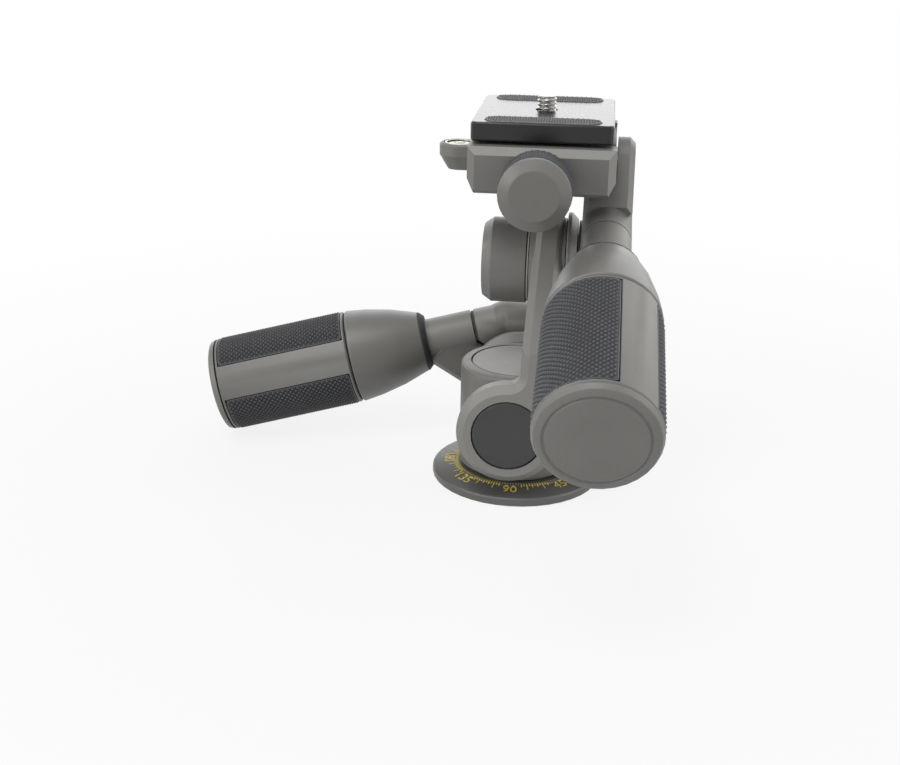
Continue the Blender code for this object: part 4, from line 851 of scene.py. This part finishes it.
def hingePin(side, body):
    pin, across = jointPlace(side + "_handle_fold")
    place = framed(pin, across, Vector((0.0, 0.0, 1.0)))
    local = nodePoints(side + "_hinge_pin", place)
    radius, half = radiiOf(local).max(), local[:, 2].max()
    chamfer, hexagon, floor = pinSizes["chamfer"], pinSizes["hexAcross"] / 2, half - pinSizes["hexDepth"]
    end = [(hexagon, floor), (hexagon, half), (radius - chamfer, half), (radius, half - chamfer)]
    rings = [(0.0, floor)] + end + [(reach, -height) for reach, height in reversed(end)] + [(0.0, -floor)]

    def sixSides(angle, ring):
        if ring in (1, 2, len(rings) - 3, len(rings) - 2):
            return hexagon * (1 / cos((angle % (pi / 3)) - pi / 6) - 1)
        return 0.0

    piece = turnedPiece(side + "HingePin", rings, pinSizes["steps"], place, "brightSteel", body, sixSides)
    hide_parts(side + "_hinge_pin")


hingePin("left", "arm")
hingePin("right", "head")
print("hinge pins made")


# Printed degree scale on the base disc: radii of the marks' ends, spacings in degrees.
scaleSizes = {
    "inner": 0.0208, "short": 0.0223, "middle": 0.0230, "long": 0.0244, "nearNumber": 0.0217, "tickWidth": 0.00036,
    "step": 2.5, "middleEvery": 5, "longEvery": 15, "numberEvery": 45, "clearSteps": 3, "ninetyAt": -91.0,
    "digitHeight": 0.0036, "digitShare": 0.69, "digitCentre": 0.0240, "digitCurve": 3, "ink": 0.00004,
    "inkSink": 0.00008, "stationDigits": 5, "near": 0.00003,
}


def discHeights():
    local = nodePoints("base_disc", Matrix.Identity(4))
    radii = radiiOf(local)
    stations = sorted({round(float(radius), scaleSizes["stationDigits"]) for radius in radii})
    tops = [float(local[np.abs(radii - station) < scaleSizes["near"]][:, 2].max()) for station in stations]
    return stations, tops


discStations, discTops = discHeights()


def onDisc(angle, radius, sideways, lift):
    height = float(np.interp(radius, discStations, discTops)) + lift
    out = Vector((cos(angle), sin(angle), 0.0))
    return out * radius + Vector((-out.y, out.x, 0.0)) * sideways + Vector((0.0, 0.0, height))


# Marks beside a number are shortened, so that the number stands clear.
def markEnd(index):
    step, clear = scaleSizes["step"], scaleSizes["clearSteps"]
    if (index + clear) % round(scaleSizes["numberEvery"] / step) < 2 * clear + 1:
        return scaleSizes["nearNumber"]
    if index % round(scaleSizes["longEvery"] / step) == 0:
        return scaleSizes["long"]
    return scaleSizes["middle" if index % round(scaleSizes["middleEvery"] / step) == 0 else "short"]


def degreeScale():
    points, faces = [], []
    bend = [station for station in discStations if scaleSizes["inner"] < station < scaleSizes["long"]]
    half, over, under = scaleSizes["tickWidth"] / 2, scaleSizes["ink"], -scaleSizes["inkSink"]
    section = ((-half, over), (half, over), (half, under), (-half, under))
    for index in range(int(360 / scaleSizes["step"])):
        angle = radians(scaleSizes["ninetyAt"] - index * scaleSizes["step"])
        end = markEnd(index)
        along = [scaleSizes["inner"]] + [station for station in bend if station < end] + [end]
        first = len(points)
        points += [onDisc(angle, radius, *corner) for radius in along for corner in section]
        for low in range(first, first + 4 * (len(along) - 1), 4):
            for corner in range(4):
                after = (corner + 1) % 4
                faces.append((low + corner, low + after, low + 4 + after, low + 4 + corner))
        last = first + 4 * (len(along) - 1)
        faces += [(first + 3, first + 2, first + 1, first), (last, last + 1, last + 2, last + 3)]
    meshPiece("degreeMarks", points, faces, "yellowInk", "base", False)


def degreeNumber(value):
    words = bpy.data.curves.new(f"degree{value}", "FONT")
    words.body = str(value)
    words.size = scaleSizes["digitHeight"] / scaleSizes["digitShare"]
    words.align_x = "CENTER"
    words.resolution_u = scaleSizes["digitCurve"]
    words.extrude = scaleSizes["ink"]
    holder = bpy.data.objects.new(f"degree{value}", words)
    bpy.context.scene.collection.objects.link(holder)
    bpy.context.view_layer.update()
    mesh = bpy.data.meshes.new_from_object(holder.evaluated_get(bpy.context.evaluated_depsgraph_get()))
    bpy.data.objects.remove(holder, do_unlink=True)
    middle = radians(scaleSizes["ninetyAt"] + 90 - value)
    base = scaleSizes["digitCentre"] + scaleSizes["digitHeight"] / 2
    for vertex in mesh.vertices:
        turned = middle + vertex.co.x / scaleSizes["digitCentre"]
        vertex.co = onDisc(turned, base - vertex.co.y, 0.0, vertex.co.z)
    mesh.materials.append(finishes["yellowInk"])
    piece = bpy.data.objects.new(f"degree{value}", mesh)
    bpy.context.scene.collection.objects.link(piece)
    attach(piece, "base")


degreeScale()
for value in range(0, 360, scaleSizes["numberEvery"]):
    degreeNumber(value)
print("degree scale printed")


# Studio: pale floor, soft lamps, white surroundings.
studio = {
    "floorSize": 6.0, "floorColour": (0.76, 0.76, 0.76), "floorRough": 0.6, "floorShine": 0.1,
    "nearGlow": 0.84, "glowFrom": 0.10, "glowTo": 0.45, "worldStrength": 0.36,
    "lamps": [  # name, place, target, size and radiance
        ("keyTop", (-0.25, -0.55, 1.35), (0.0, 0.0, 0.06), (0.7, 0.7), 3.6),
        ("leftFront", (-1.20, -0.85, 0.70), (0.0, 0.0, 0.05), (0.9, 0.9), 3.4),
        ("rightSoft", (1.30, -0.20, 0.60), (0.0, 0.0, 0.07), (1.0, 1.2), 1.7),
        ("backSoft", (0.0, 1.40, 0.60), (0.0, 0.0, 0.10), (2.8, 1.0), 1.35),
    ],
}


# 1 for rays that come from the camera, a mirror or a clear piece, 0 for rays that only light the object.
def seenDirectly(tree):
    paths = addNode(tree, "LightPath").outputs
    seen = paths["Is Camera Ray"]
    for other in ("Is Glossy Ray", "Is Transmission Ray"):
        seen = addNode(tree, "Math", {"operation": "MAXIMUM"}, {0: seen, 1: paths[other]}).outputs[0]
    return seen


def addFloor(setup):
    half = setup["floorSize"] / 2
    mesh = bpy.data.meshes.new("studioFloor")
    mesh.from_pydata([(-half, -half, 0), (half, -half, 0), (half, half, 0), (-half, half, 0)], [], [(0, 1, 2, 3)])
    floor = bpy.data.objects.new("studioFloor", mesh)
    bpy.context.scene.collection.objects.link(floor)
    material, tree, shader = newMaterial("paleFloor", {
        "Roughness": setup["floorRough"], "Specular IOR Level": setup["floorShine"],
        "Base Color": setup["floorColour"],
    })
    place = addNode(tree, "NewGeometry").outputs["Position"]
    distance = addNode(tree, "VectorMath", {"operation": "LENGTH"}, {0: place}).outputs["Value"]
    glow = addNode(tree, "MapRange", {"interpolation_type": "SMOOTHSTEP"}, {
        "Value": distance, "From Min": setup["glowFrom"], "From Max": setup["glowTo"],
        "To Min": setup["nearGlow"], "To Max": 1.0,
    }).outputs["Result"]
    share = addNode(tree, "Math", {"operation": "MULTIPLY"}, {0: glow, 1: seenDirectly(tree)}).outputs[0]
    white = addNode(tree, "Emission", inputs={"Color": (1.0, 1.0, 1.0, 1.0), "Strength": 1.0}).outputs[0]
    mixed = addNode(tree, "MixShader", inputs={0: share, 1: shader.outputs[0], 2: white}).outputs[0]
    tree.links.new(mixed, tree.nodes["Material Output"].inputs["Surface"])
    mesh.materials.append(material)


def addWorld(setup):
    world = bpy.data.worlds.new("whiteRoom")
    world.use_nodes = True
    tree = world.node_tree
    ground = tree.nodes["Background"]
    strength = scaled(tree, seenDirectly(tree), setup["worldStrength"], 1.0)
    ground.inputs["Color"].default_value = (1.0, 1.0, 1.0, 1.0)
    tree.links.new(strength, ground.inputs["Strength"])
    bpy.context.scene.world = world


def addLamp(name, place, target, size, radiance):
    data = bpy.data.lights.new(name, "AREA")
    data.shape = "RECTANGLE"
    data.size, data.size_y = size
    data.energy = radiance * pi * size[0] * size[1]
    lamp = bpy.data.objects.new(name, data)
    aim = (Vector(place) - Vector(target)).to_track_quat("Z", "Y").to_matrix().to_4x4()
    lamp.matrix_world = Matrix.Translation(place) @ aim
    bpy.context.scene.collection.objects.link(lamp)


addFloor(studio)
addWorld(studio)
for lampSetup in studio["lamps"]:
    addLamp(*lampSetup)
print("studio lit")
